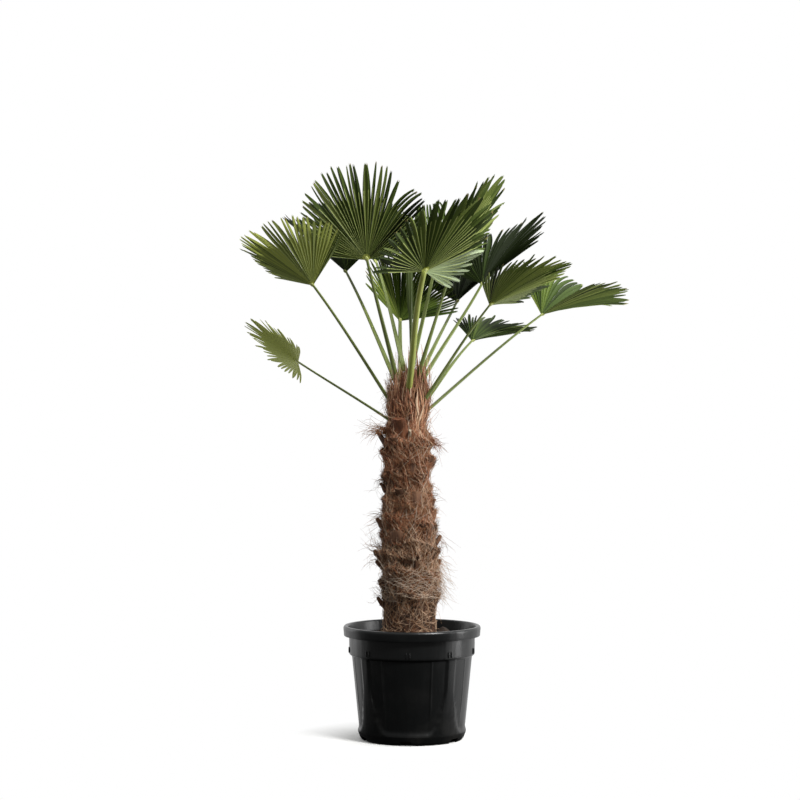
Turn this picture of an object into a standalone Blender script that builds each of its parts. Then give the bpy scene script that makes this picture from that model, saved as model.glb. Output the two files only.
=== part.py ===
"""A potted windmill palm: nursery pot, soil, fibre-clad trunk with cut leaf bases, petioles and fan blades.

Metres, +Z up. The origin is the centre of the pot's flat underside, and -Y is the plant's front.
Every frond is one petiole and one blade, placed by where its blade is joined on (the hastula).
"""

import math

import bmesh
import bpy
import numpy as np

# Gap that keeps touching solids apart, and the angle from which an edge is shaded sharp
CLEARANCE = 0.0003
SHARP_ANGLE = math.radians(35.0)

# Pot: a moulded nursery container
POT_HEIGHT = 0.411
POT_FOOT_RADIUS = 0.194
POT_FOOT_ROUND = 0.012
POT_BODY_TOP_RADIUS = 0.2245
POT_COLLAR_RADIUS = 0.229
POT_RIM_RADIUS = 0.250
POT_MOUTH_RADIUS = 0.2325
POT_RIM_DROP = 0.036
POT_WALL = 0.0040
POT_FLOOR = 0.0050
POT_SIDES = 48
COLLAR_FOOT_HEIGHT = 0.310
COLLAR_STEP = 0.0035
PANELS = 4
PANEL_TURN = math.radians(-95.5)
PANEL_DEPTH = 0.0055
BODY_HEIGHTS = (0.030, 0.060, 0.100, 0.302)
DRAIN_SLOTS = 6
DRAIN_TURN = math.radians(-97.0)
DRAIN_WIDTH = 0.040
DRAIN_HEIGHT = 0.016
DRAIN_REACH = 0.030
LUGS = 9
LUG_TURN = math.radians(-94.0)
LUG_WIDTH = 0.012
LUG_HEIGHT = 0.022
LUG_STAND_OFF = 0.0035

# Soil: level round the trunk, a little lower at the wall
SOIL_TOP = 0.377
SOIL_EDGE_TOP = 0.368
SOIL_LEVEL_RADIUS = 0.135

# Trunk: a column of old leaf sheaths, its living crown the flared sheath on top
TRUNK_CENTRE_X = -0.010
TRUNK_SIDES = 24
TRUNK_STATIONS = (  # height above the soil, radius
    (0.000, 0.106),
    (0.035, 0.097),
    (0.110, 0.090),
    (0.210, 0.093),
    (0.300, 0.096),
    (0.400, 0.089),
    (0.520, 0.078),
    (0.660, 0.077),
    (0.735, 0.072),
    (0.775, 0.069),
    (0.830, 0.080),
    (0.885, 0.082),
    (0.940, 0.078),
    (0.975, 0.065),
    (1.003, 0.038),
)
LEAF_BASES = 44
LEAF_BASE_FIRST = 0.055
LEAF_BASE_LAST = 0.660
LEAF_BASE_LENGTH = 0.095
LEAF_BASE_WIDTH = 0.056
LEAF_BASE_THICKNESS = 0.017
LEAF_BASE_STAND_OFF = 0.030
GOLDEN_ANGLE = math.radians(137.508)

# Petioles
PETIOLE_RINGS = 9
PETIOLE_ARCH = 0.01
PETIOLE_FOOT_WIDTH = 0.024
PETIOLE_TIP_WIDTH = 0.011
PETIOLE_FLATNESS = 0.62
PETIOLE_FOOT_INSET = 0.045

# Blades
BLADE_SEGMENTS = 22
BLADE_SPLIT = 0.56
BLADE_SIDE_LENGTH = 0.70
BLADE_THICKNESS = 0.0038
BLADE_HUB_RADIUS = 0.007
BLADE_HUB_THICKNESS = 0.0085
BLADE_PLEAT = 0.0085
BLADE_TIP_THICKNESS = 0.0016

# Spear: the youngest leaf, still folded, that stands in the crown's centre
SPEAR_FOOT = (0.000, 0.012, 1.345)
SPEAR_TIP = (-0.012, 0.035, 1.800)
SPEAR_STALK_WIDTH = 0.012
SPEAR_LEAF_WIDTH = 0.027

# Each frond: its name; the bearing in degrees and the height where its petiole leaves the crown; its
# hastula (x, y, z); and its blade: bearing and elevation of the middle segment and roll about it in
# degrees, radius, spread in degrees, cup (how far the sides rise) and droop (how far the tips fall).
# Bearings run anticlockwise from +X seen from above, so the front is 270.
FRONDS = (
    ("left_low", 180, 1.157, (-0.417, 0.061, 1.370), (166, 35, 26), 0.251, 192, 0.01, 0.02),
    ("left", 187, 1.241, (-0.355, -0.126, 1.641), (206, 36, 23), 0.320, 150, 0.46, 0.00),
    ("left_back", 161, 1.337, (-0.249, 0.354, 1.718), (143, 43, -15), 0.333, 156, 0.77, 0.01),
    ("front_left", 219, 1.338, (-0.161, -0.207, 1.727), (232, 77, 14), 0.365, 165, 0.06, 0.01),
    ("back_left", 135, 1.378, (-0.133, 0.176, 1.745), (138, 44, -7), 0.358, 151, 0.47, 0.01),
    ("front", 270, 1.279, (0.041, -0.467, 1.671), (329, 51, -8), 0.335, 214, 0.10, 0.02),
    ("front_right", 313, 1.353, (0.151, -0.223, 1.730), (314, 64, 23), 0.346, 179, 0.08, 0.13),
    ("right_back", 28, 1.329, (0.265, 0.262, 1.667), (76, 45, -8), 0.380, 181, 0.74, 0.15),
    ("back_right", 54, 1.326, (0.176, 0.457, 1.609), (56, 45, -3), 0.324, 151, 0.60, 0.15),
    ("right_front", 326, 1.246, (0.274, -0.203, 1.566), (346, 35, -12), 0.328, 150, 0.19, 0.13),
    ("right", 8, 1.203, (0.482, 0.155, 1.547), (32, 17, 12), 0.370, 150, 0.71, 0.17),
    ("right_low", 18, 1.251, (0.229, 0.310, 1.454), (31, 22, 12), 0.272, 151, 0.33, 0.16),
    ("back_low", 112, 1.246, (-0.044, 0.289, 1.529), (79, 66, 37), 0.291, 150, 0.49, 0.01),
    ("back", 60, 1.383, (0.090, 0.139, 1.742), (80, 53, -12), 0.323, 157, 0.48, 0.07),
)


# Materials and the two ways that a solid is made

def finish(name, colour, roughness):
    """A Principled BSDF material of one colour."""
    material = bpy.data.materials.new(name)
    material.use_nodes = True
    shader = material.node_tree.nodes["Principled BSDF"]
    shader.inputs["Base Color"].default_value = (*colour, 1.0)
    shader.inputs["Roughness"].default_value = roughness
    shader.inputs["Metallic"].default_value = 0.0
    return material


def solid(name, points, faces, material):
    """An object from a closed mesh, with its faces turned outwards."""
    mesh = bpy.data.meshes.new(name)
    mesh.from_pydata([tuple(point) for point in points], [], faces)
    shape = bmesh.new()
    shape.from_mesh(mesh)
    bmesh.ops.recalc_face_normals(shape, faces=shape.faces[:])
    shape.to_mesh(mesh)
    shape.free()
    mesh.materials.append(material)
    thing = bpy.data.objects.new(name, mesh)
    bpy.context.scene.collection.objects.link(thing)
    return thing


def loft(name, sections, material):
    """A closed tube through rings of equal count, (rings, sides, 3), with a flat cap at each end."""
    sections = np.asarray(sections, float)
    rings, sides = sections.shape[:2]
    faces = []
    for ring in range(rings - 1):
        for side in range(sides):
            after = (side + 1) % sides
            low = ring * sides
            faces.append((low + side, low + after, low + sides + after, low + sides + side))
    faces.append(tuple(range(sides)))
    faces.append(tuple((rings - 1) * sides + side for side in range(sides)))
    return solid(name, sections.reshape(-1, 3), faces, material)


def combine(target, tools, operation):
    """Joins the tools to the target, or cuts them from it, then removes them."""
    group = bpy.data.collections.new(target.name + "_tools")
    for tool in tools:
        group.objects.link(tool)
    modifier = target.modifiers.new("combine", "BOOLEAN")
    modifier.operation = operation
    modifier.operand_type = "COLLECTION"
    modifier.collection = group
    modifier.solver = "EXACT"
    bpy.context.view_layer.update()
    graph = bpy.context.evaluated_depsgraph_get()
    made = bpy.data.meshes.new_from_object(target.evaluated_get(graph))
    target.modifiers.clear()
    target.data = made
    for tool in tools:
        bpy.data.objects.remove(tool)
    bpy.data.collections.remove(group)


def turned(bearings, radii, height):
    """One ring about the z axis."""
    height = np.broadcast_to(height, np.shape(bearings))
    return np.stack([np.cos(bearings) * radii, np.sin(bearings) * radii, height], axis=-1)


# Pot and soil

def panel_relief(bearings, height):
    """How far the pot's wall is pressed in: flat panels with sloping flanks and rounded lower ends."""
    pitch = 2 * math.pi / PANELS
    across = ((bearings - PANEL_TURN) / pitch + 0.5) % 1.0 - 0.5
    flank = np.clip((0.5 - np.abs(across)) / 0.2, 0, 1)
    foot = 0.030 + 0.28 * across**2
    rise = np.clip((height - foot) / 0.030, 0, 1)
    return PANEL_DEPTH * flank * rise


def body_radius(height):
    """The pot's outer radius at a height, between its panels."""
    slope = (POT_BODY_TOP_RADIUS - POT_FOOT_RADIUS) / COLLAR_FOOT_HEIGHT
    return POT_FOOT_RADIUS + slope * height


def pot_wall(bearings, height, inset):
    """The body's ring at a height, a distance in from its outer face."""
    return turned(bearings, body_radius(height) - inset - panel_relief(bearings, height), height)


def block(name, bearing, near, far, width, low, high, material):
    """A block that points outwards from the pot's axis, between two radii and two heights."""
    outward = np.array([math.cos(bearing), math.sin(bearing), 0.0])
    across = np.array([-math.sin(bearing), math.cos(bearing), 0.0]) * width / 2
    up_low, up_high = np.array([0, 0, low]), np.array([0, 0, high])
    rings = []
    for reach in (near, far):
        middle = outward * reach
        rings.append([middle - across + up_low, middle + across + up_low,
                      middle + across + up_high, middle - across + up_high])
    return loft(name, rings, material)


def make_pot(plastic):
    """The pot's shell: foot, panelled body, collar with lugs, and a rim that turns out and down."""
    bearings = np.linspace(0, 2 * math.pi, POT_SIDES, endpoint=False)
    rim_foot = POT_HEIGHT - POT_RIM_DROP
    skirt = POT_RIM_RADIUS - POT_WALL
    foot_inside = POT_FOOT_RADIUS - POT_FOOT_ROUND / 3 - POT_WALL
    outside = [
        turned(bearings, POT_FOOT_RADIUS - POT_FOOT_ROUND, 0.0),
        turned(bearings, POT_FOOT_RADIUS - POT_FOOT_ROUND / 3, POT_FOOT_ROUND * 0.8),
        *(pot_wall(bearings, height, 0.0) for height in BODY_HEIGHTS),
        turned(bearings, POT_BODY_TOP_RADIUS + COLLAR_STEP, COLLAR_FOOT_HEIGHT),
        turned(bearings, POT_COLLAR_RADIUS, rim_foot),
        turned(bearings, POT_MOUTH_RADIUS + POT_WALL, POT_HEIGHT - POT_WALL),
    ]
    rim = [
        turned(bearings, skirt - 0.0015, POT_HEIGHT - POT_WALL),
        turned(bearings, skirt - 0.0015, rim_foot + 0.001),
        turned(bearings, skirt + 0.0015, rim_foot),
        turned(bearings, POT_RIM_RADIUS, POT_HEIGHT - 0.007),
        turned(bearings, POT_RIM_RADIUS - 0.002, POT_HEIGHT - 0.001),
        turned(bearings, POT_RIM_RADIUS - 0.005, POT_HEIGHT),
        turned(bearings, POT_MOUTH_RADIUS + 0.004, POT_HEIGHT),
        turned(bearings, POT_MOUTH_RADIUS, POT_HEIGHT - 0.003),
    ]
    inside = [
        turned(bearings, POT_COLLAR_RADIUS - POT_WALL, rim_foot - 0.001),
        turned(bearings, POT_BODY_TOP_RADIUS + COLLAR_STEP - POT_WALL, COLLAR_FOOT_HEIGHT + 0.004),
        *(pot_wall(bearings, height, POT_WALL) for height in reversed(BODY_HEIGHTS)),
        turned(bearings, foot_inside, POT_FLOOR + 0.005),
        turned(bearings, foot_inside - POT_FOOT_ROUND / 2, POT_FLOOR),
    ]
    pot = loft("pot", outside + rim + inside, plastic)
    lugs = []
    collar_foot = POT_BODY_TOP_RADIUS + COLLAR_STEP
    for index in range(LUGS):
        bearing = LUG_TURN + index * 2 * math.pi / LUGS
        lugs.append(block(f"lug_{index}", bearing, collar_foot - POT_WALL / 2, collar_foot + LUG_STAND_OFF,
                          LUG_WIDTH, COLLAR_FOOT_HEIGHT + 0.004, COLLAR_FOOT_HEIGHT + LUG_HEIGHT, plastic))
    combine(pot, lugs, "UNION")
    slots = []
    for index in range(DRAIN_SLOTS):
        bearing = DRAIN_TURN + index * 2 * math.pi / DRAIN_SLOTS
        slots.append(block(f"slot_{index}", bearing, POT_FOOT_RADIUS - DRAIN_REACH, POT_FOOT_RADIUS + 0.02,
                           DRAIN_WIDTH, -0.01, DRAIN_HEIGHT, plastic))
    combine(pot, slots, "DIFFERENCE")


def make_soil(earth):
    """The filled pot's soil, which stays inside the pressed-in panels."""
    bearings = np.linspace(0, 2 * math.pi, POT_SIDES, endpoint=False)
    gap = POT_WALL + CLEARANCE
    panels_gap = gap + PANEL_DEPTH
    rings = [
        turned(bearings, POT_FOOT_RADIUS - POT_FOOT_ROUND - panels_gap, POT_FLOOR + CLEARANCE),
        turned(bearings, body_radius(BODY_HEIGHTS[0]) - panels_gap, BODY_HEIGHTS[0]),
        turned(bearings, body_radius(BODY_HEIGHTS[-1]) - panels_gap, BODY_HEIGHTS[-1]),
        turned(bearings, POT_BODY_TOP_RADIUS + COLLAR_STEP - gap - 0.001, COLLAR_FOOT_HEIGHT + 0.006),
        turned(bearings, POT_COLLAR_RADIUS - gap - 0.001, SOIL_EDGE_TOP),
        turned(bearings, SOIL_LEVEL_RADIUS, SOIL_TOP),
    ]
    loft("soil", rings, earth)


# Trunk

def trunk_radius(height):
    """The trunk's radius at a height above the ground."""
    heights, radii = zip(*TRUNK_STATIONS)
    return float(np.interp(height - SOIL_TOP, heights, radii))


def trunk_solid(name, grown, material):
    """The column from its flat cut to the crown's tip, grown outwards by a distance."""
    bearings = np.linspace(0, 2 * math.pi, TRUNK_SIDES, endpoint=False)
    rings = []
    for height, radius in TRUNK_STATIONS:
        ring = turned(bearings, radius + grown, SOIL_TOP + CLEARANCE + height)
        ring[:, 0] += TRUNK_CENTRE_X
        rings.append(ring)
    rings[-1][:, 2] += grown
    return loft(name, rings, material)


def leaf_base(index, chance, material):
    """The stub of one cut leaf: flush at its foot, widest at its middle, standing off at its cut end."""
    share = index / (LEAF_BASES - 1)
    foot = SOIL_TOP + LEAF_BASE_FIRST + share * (LEAF_BASE_LAST - LEAF_BASE_FIRST)
    bearing = index * GOLDEN_ANGLE + chance.uniform(-0.1, 0.1)
    length = LEAF_BASE_LENGTH * chance.uniform(0.8, 1.15)
    stand_off = LEAF_BASE_STAND_OFF * chance.uniform(0.35, 1.1)
    outward = np.array([math.cos(bearing), math.sin(bearing), 0.0])
    across = np.array([-math.sin(bearing), math.cos(bearing), 0.0])
    rings = []
    # Of each section: share of the length, of the width, of the thickness, and of the stand-off
    for along, wide, thick, off in ((0, 0.8, 0.7, -0.3), (0.55, 1.0, 1.0, 0.0), (1.0, 0.62, 0.6, 1.0)):
        height = foot + along * length
        reach = trunk_radius(height) - LEAF_BASE_THICKNESS * 0.35 + off * stand_off
        middle = np.array([TRUNK_CENTRE_X, 0, height]) + outward * reach
        half_width = across * LEAF_BASE_WIDTH * wide / 2
        half_thick = outward * LEAF_BASE_THICKNESS * thick / 2
        rings.append([
            middle - half_width - half_thick * 1.2,
            middle - half_thick * 0.8,
            middle + half_width - half_thick * 1.2,
            middle + half_width * 0.8 + half_thick * 0.3,
            middle + half_thick,
            middle - half_width * 0.8 + half_thick * 0.3,
        ])
    return loft(f"leaf_base_{index}", rings, material)


def make_trunk(bark):
    """The trunk: the column with its cut leaf bases joined on."""
    chance = np.random.default_rng(11)
    trunk = trunk_solid("trunk", 0.0, bark)
    stubs = [leaf_base(index, chance, bark) for index in range(LEAF_BASES)]
    combine(trunk, stubs, "UNION")


# Fronds

def unit(vector):
    """The vector at length one."""
    return vector / np.linalg.norm(vector)


def turn(vector, axis, angle):
    """The vector turned about a unit axis by the right-hand rule."""
    across = np.cross(axis, vector)
    return vector * math.cos(angle) + across * math.sin(angle) + axis * (axis @ vector) * (1 - math.cos(angle))


def blade_frame(bearing, elevation, roll):
    """The blade's own axes: along its middle segment, to its side, and out of its upper face."""
    bearing, elevation = math.radians(bearing), math.radians(elevation)
    level = math.cos(elevation)
    along = np.array([math.cos(bearing) * level, math.sin(bearing) * level, math.sin(elevation)])
    side = unit(np.cross(along, (0.0, 0.0, 1.0)))
    side = turn(side, along, math.radians(roll))
    return along, side, np.cross(side, along)


def petiole_path(bearing, height, hastula, along):
    """Points from inside the crown, through the exit, to the hastula, where it runs on into the blade."""
    angle = math.radians(bearing)
    exit_point = np.array([TRUNK_CENTRE_X, 0, height])
    exit_point += trunk_radius(height) * np.array([math.cos(angle), math.sin(angle), 0.0])
    end = np.array(hastula)
    straight = end - exit_point
    span = np.linalg.norm(straight)
    # Its line leaves the crown along the chord and turns towards the blade near its end
    start_pull = exit_point + straight / 3 + np.array([0, 0, PETIOLE_ARCH * span])
    end_pull = end - span / 3 * unit(unit(straight) * 4 + along)
    steps = np.linspace(0, 1, PETIOLE_RINGS - 1)[:, None]
    back = 1 - steps
    curve = back**3 * exit_point + 3 * back**2 * steps * start_pull + 3 * back * steps**2 * end_pull + steps**3 * end
    foot = exit_point - PETIOLE_FOOT_INSET * unit(start_pull - exit_point)
    return np.vstack([foot, curve])


def make_petiole(name, path, blade_axes, spread, material):
    """One tapering leaf stalk, flat above and keeled below, that turns towards its blade's own side.

    It ends just short of the hastula, square to the blade, between the blade's two lowest segments.
    """
    along, blade_side, _ = blade_axes
    half_tip = PETIOLE_TIP_WIDTH / 2
    behind = max(0.0, spread / 2 - math.pi / 2)
    path = path.copy()
    path[-1] -= along * (half_tip * math.tan(behind) + CLEARANCE / math.cos(behind))
    rings = []
    for index, point in enumerate(path):
        share = index / (len(path) - 1)
        last = index == len(path) - 1
        tangent = along if last else unit(path[index + 1] - path[max(index - 1, 0)])
        level = unit(np.cross(tangent, (0.0, 0.0, 1.0)))
        side = level + (blade_side - level) * share
        side = unit(side - tangent * (side @ tangent))
        top = np.cross(side, tangent)
        width = (PETIOLE_FOOT_WIDTH + (PETIOLE_TIP_WIDTH - PETIOLE_FOOT_WIDTH) * share**0.6) / 2
        deep = width * PETIOLE_FLATNESS
        # Section points, across and up, as shares of the half width and half depth
        outline = ((-1, 0.45), (-0.35, 0.9), (0.35, 0.9), (1, 0.45), (0.5, -0.8), (-0.5, -0.8))
        rings.append([point + side * width * x + top * deep * y for x, y in outline])
    return loft(name, rings, material)


def blade_mesh(reach, spread, cup, droop, seed):
    """The fan in its own axes: pleated to the split, then one stiff pointed tip for each segment.

    A point at an angle from the middle line and a radius lies at
    (radius cos, radius sin, cup radius |sin|^1.5 - droop radius^2 / reach + pleat).
    """
    chance = np.random.default_rng(seed)
    lines = 2 * BLADE_SEGMENTS + 1
    angles = np.linspace(-spread / 2, spread / 2, lines)
    length = reach * (1 - (1 - BLADE_SIDE_LENGTH) * np.abs(angles / angles[-1]) ** 1.6)
    edge = np.where(np.arange(lines) % 2 == 0, 1.0, -1.0)

    def surface(angle, radius, pleat, thickness):
        lift = cup * radius * np.abs(np.sin(angle)) ** 1.5 - droop * radius**2 / reach + pleat
        middle = np.stack([radius * np.cos(angle), radius * np.sin(angle), lift], axis=-1)
        half = np.array([0, 0, thickness / 2])
        return np.stack([middle + half, middle - half], axis=-2)

    split = BLADE_SPLIT * length
    hub = surface(angles, np.full(lines, BLADE_HUB_RADIUS), 0 * angles, BLADE_HUB_THICKNESS)
    rim = surface(angles, split, edge * BLADE_PLEAT, BLADE_THICKNESS)
    tip_length = length[1::2] * chance.uniform(0.95, 1.04, BLADE_SEGMENTS)
    tips = surface(angles[1::2], tip_length, 0 * tip_length, BLADE_TIP_THICKNESS)
    centre = surface(np.zeros(1), np.zeros(1), np.zeros(1), BLADE_HUB_THICKNESS)
    points = np.concatenate([part.reshape(-1, 3) for part in (centre, hub, rim, tips)])

    first_hub, first_rim, first_tip = 2, 2 + 2 * lines, 2 + 4 * lines
    faces = []
    for line in range(lines - 1):
        near, far = first_hub + 2 * line, first_rim + 2 * line
        tip = first_tip + 2 * (line // 2)
        for side in (0, 1):  # upper face, then lower face
            faces.append((side, near + side, near + 2 + side))
            faces.append((near + side, far + side, far + 2 + side, near + 2 + side))
            faces.append((far + side, tip + side, far + 2 + side))
        wall = far if line % 2 == 0 else far + 2
        faces.append((wall, wall + 1, tip + 1, tip))
    for near, far in ((first_hub, first_rim), (first_rim - 2, first_tip - 2)):
        faces.append((0, 1, near + 1, near))
        faces.append((near, near + 1, far + 1, far))
    return points, faces


def make_frond(frond, seed, stalk, leaf):
    """A petiole and its blade, joined at the hastula."""
    name, bearing, height, hastula, pose, reach, spread, cup, droop = frond
    spread = math.radians(spread)
    axes = blade_frame(*pose)
    path = petiole_path(bearing, height, hastula, axes[0])
    petiole = make_petiole("petiole_" + name, path, axes, spread, stalk)
    combine(petiole, [trunk_solid("crown_cutter", CLEARANCE, stalk)], "DIFFERENCE")
    points, faces = blade_mesh(reach, spread, cup, droop, seed)
    placed = np.array(hastula) + points @ np.array(axes)
    solid("blade_" + name, placed, faces, leaf)


def make_spear(leaf):
    """The folded young leaf: a slim stalk that widens into the closed fan and ends in a point."""
    foot, tip = np.array(SPEAR_FOOT), np.array(SPEAR_TIP)
    rings = []
    # Of each section: share of the height, width, depth as a share of the width
    for share, width, depth in ((0.0, SPEAR_STALK_WIDTH, 0.8), (0.38, SPEAR_STALK_WIDTH, 0.8),
                                (0.56, SPEAR_LEAF_WIDTH, 0.5), (0.78, SPEAR_LEAF_WIDTH, 0.45),
                                (1.0, SPEAR_LEAF_WIDTH * 0.2, 0.6)):
        centre = foot + (tip - foot) * share
        angles = np.linspace(0, 2 * math.pi, 8, endpoint=False)
        ring = turned(angles, 1.0, 0.0) * np.array([width / 2, width * depth / 2, 0.0])
        rings.append(centre + ring)
    spear = loft("spear_leaf", rings, leaf)
    combine(spear, [trunk_solid("crown_cutter", CLEARANCE, leaf)], "DIFFERENCE")


def make_palm():
    """The whole plant in its pot."""
    make_pot(finish("pot_plastic", (0.016, 0.017, 0.018), 0.42))
    make_soil(finish("soil", (0.030, 0.022, 0.016), 0.95))
    make_trunk(finish("palm_fibre", (0.150, 0.075, 0.038), 0.90))
    stalk = finish("petiole_green", (0.100, 0.150, 0.040), 0.50)
    leaf = finish("blade_green", (0.060, 0.105, 0.030), 0.45)
    make_spear(leaf)
    for seed, frond in enumerate(FRONDS):
        make_frond(frond, seed, stalk, leaf)
    for thing in bpy.data.objects:
        thing.data.polygons.foreach_set("use_smooth", [True] * len(thing.data.polygons))
        thing.data.set_sharp_from_angle(angle=SHARP_ANGLE)


for thing in list(bpy.data.objects):
    bpy.data.objects.remove(thing)
make_palm()
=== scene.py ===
"""A windmill palm in its nursery pot: the finish and the fine form of everything that the solids carry.

Metres, +Z up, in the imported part's own frame: the origin is the middle of the pot's underside, and -Y is
the plant's front. The script runs from top to bottom, one section for each piece or group of like pieces.
"""

import math

import bpy
import numpy as np
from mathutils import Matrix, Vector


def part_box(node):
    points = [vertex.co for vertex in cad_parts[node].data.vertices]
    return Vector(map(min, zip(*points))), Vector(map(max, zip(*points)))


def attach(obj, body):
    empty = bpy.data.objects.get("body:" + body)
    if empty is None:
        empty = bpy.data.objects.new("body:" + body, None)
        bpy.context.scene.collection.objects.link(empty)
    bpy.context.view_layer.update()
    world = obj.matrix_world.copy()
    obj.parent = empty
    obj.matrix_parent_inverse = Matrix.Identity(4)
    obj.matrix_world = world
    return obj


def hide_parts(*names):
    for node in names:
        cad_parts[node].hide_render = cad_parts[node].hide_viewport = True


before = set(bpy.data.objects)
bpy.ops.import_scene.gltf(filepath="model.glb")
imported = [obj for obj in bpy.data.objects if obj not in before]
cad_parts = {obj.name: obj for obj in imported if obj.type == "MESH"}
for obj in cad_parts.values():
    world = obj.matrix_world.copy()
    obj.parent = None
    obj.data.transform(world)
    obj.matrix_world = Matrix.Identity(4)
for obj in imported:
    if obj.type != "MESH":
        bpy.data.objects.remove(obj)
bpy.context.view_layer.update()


# Camera: level, at chest height and 7.8 m in front, as the photograph was taken.
# Its long lens takes in the whole plant with its pot.
CAMERA_PLACE = (-0.0436, -7.8, 1.231)
LENS_MM = 96.4
SENSOR_MM = 36.0

camera = bpy.data.objects.new("camera", bpy.data.cameras.new("camera"))
camera.data.lens = LENS_MM
camera.data.sensor_width = SENSOR_MM
camera.location = CAMERA_PLACE
camera.rotation_euler = (math.pi / 2, 0.0, 0.0)
bpy.context.scene.collection.objects.link(camera)
bpy.context.scene.camera = camera


# Studio: a white floor that fades into a white surround. The light comes from the sides, from behind and
# from above, strongest at the right, and the side where the camera stands is dim, so that the pot's front
# stays black and the fans keep their dark folds.
FLOOR_REACH = 9.0
FLOOR_GRID = (96, 14)
FLOOR_WHITE = "#F2F2F0"
FADE_BAND = {"From Min": 0.22, "From Max": 0.46}
WHITE = (1, 1, 1, 1)
CARD_TO_RIGHT = 0.55
CARD_BAND = {"From Min": 0.05, "From Max": 0.40, "To Min": 0.03, "To Max": 0.85}
OUTER_BAND = {"From Min": 1.5, "From Max": 2.6, "To Max": 0.22}
SURROUND_TO_RIGHT = 0.42
SIDE_BAND = {"From Min": 0.22, "From Max": 0.52, "To Min": 0.22, "To Max": 1.05}
TOP_BAND = {"From Min": 0.35, "From Max": 0.85, "To Min": 0.0, "To Max": 0.8}
OVERHEAD = (3.2, 16.0, (48.0, 0.0, 42.0))  # strength, softness and tilt in degrees
SIDE_BOXES = (  # name, place, size, power
    ("right_box", (2.6, -0.15, 0.9), (0.7, 2.2), 44.0), ("left_box", (-2.4, 1.5, 0.9), (0.5, 2.2), 6.0),
)
BOX_AIM = (0.0, 0.0, 0.9)


def to_linear(colour):
    """An sRGB hex colour, such as #7A5233, as linear red, green, blue and alpha."""
    value = np.array([int(colour[at:at + 2], 16) for at in (1, 3, 5)]) / 255
    linear = np.where(value <= 0.04045, value / 12.92, ((value + 0.055) / 1.055) ** 2.4)
    return (*linear.tolist(), 1.0)


def add_node(tree, kind, inputs=None, **settings):
    """Adds a node with its settings. An input given a socket, or a node for its first output, is linked."""
    node = tree.nodes.new(kind)
    for name, value in settings.items():
        setattr(node, name, value)
    for name, value in (inputs or {}).items():
        value = value.outputs[0] if isinstance(value, bpy.types.Node) else value
        if isinstance(value, bpy.types.NodeSocket):
            tree.links.new(value, node.inputs[name])
        else:
            node.inputs[name].default_value = value
    return node


def new_material(name, colour, roughness):
    """A material with one Principled shader, and the node tree and shader to add to."""
    material = bpy.data.materials.new(name)
    material.use_nodes = True
    tree = material.node_tree
    shader = tree.nodes["Principled BSDF"]
    shader.inputs["Base Color"].default_value = to_linear(colour)
    shader.inputs["Roughness"].default_value = roughness
    return material, tree, shader


def grid_faces(rows, columns, closed_rows=False, closed_columns=False):
    """Quads of a grid of points, row by row, joined end to end where closed."""
    row = np.arange(rows if closed_rows else rows - 1)[:, None]
    column = np.arange(columns if closed_columns else columns - 1)[None, :]
    next_row, next_column = (row + 1) % rows, (column + 1) % columns
    corners = (row * columns + column, row * columns + next_column,
               next_row * columns + next_column, next_row * columns + column)
    return np.stack(corners, axis=-1).reshape(-1, 4)


def new_mesh_object(name, points, face_sets, materials, chosen=None, uvs=None, smooth=True):
    """An object from arrays: points, sets of faces of one size each, each face's material and corner UVs."""
    mesh = bpy.data.meshes.new(name)
    sizes = np.concatenate([np.full(len(faces), faces.shape[1]) for faces in face_sets])
    corners = np.concatenate([faces.ravel() for faces in face_sets])
    points = np.reshape(points, (-1, 3))
    mesh.vertices.add(len(points))
    mesh.vertices.foreach_set("co", points.ravel().astype(np.float32))
    mesh.loops.add(len(corners))
    mesh.loops.foreach_set("vertex_index", corners.astype(np.int32))
    mesh.polygons.add(len(sizes))
    mesh.polygons.foreach_set("loop_start", (np.cumsum(sizes) - sizes).astype(np.int32))
    if chosen is not None:
        mesh.polygons.foreach_set("material_index", chosen.astype(np.int32))
    mesh.polygons.foreach_set("use_smooth", np.full(len(sizes), smooth))
    for material in materials:
        mesh.materials.append(material)
    if uvs is not None:
        layer = mesh.uv_layers.new(name="along")
        layer.data.foreach_set("uv", uvs[corners].ravel().astype(np.float32))
    mesh.update(calc_edges=True)
    thing = bpy.data.objects.new(name, mesh)
    bpy.context.scene.collection.objects.link(thing)
    return thing


def around(radii, bearings, heights, middle=0.0):
    """Points at radii, bearings and heights about an upright axis, which stands at the given x."""
    places = radii * np.cos(bearings) + middle, radii * np.sin(bearings), heights
    return np.stack(np.broadcast_arrays(*places), axis=-1)


def all_round(count):
    """Evenly spaced angles, once round."""
    return np.linspace(0, 2 * math.pi, count, endpoint=False)


def behind_or_right(tree, place, share):
    """How far a place or direction lies behind the plant, with a share of how far it lies to the right."""
    split = add_node(tree, "ShaderNodeSeparateXYZ", {"Vector": place})
    rightward = add_node(tree, "ShaderNodeMath", {0: split.outputs["X"], 1: 0.0}, operation="MAXIMUM")
    both = {0: rightward, 1: share, 2: split.outputs["Y"]}
    return add_node(tree, "ShaderNodeMath", both, operation="MULTIPLY_ADD"), split.outputs["Z"]


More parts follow.
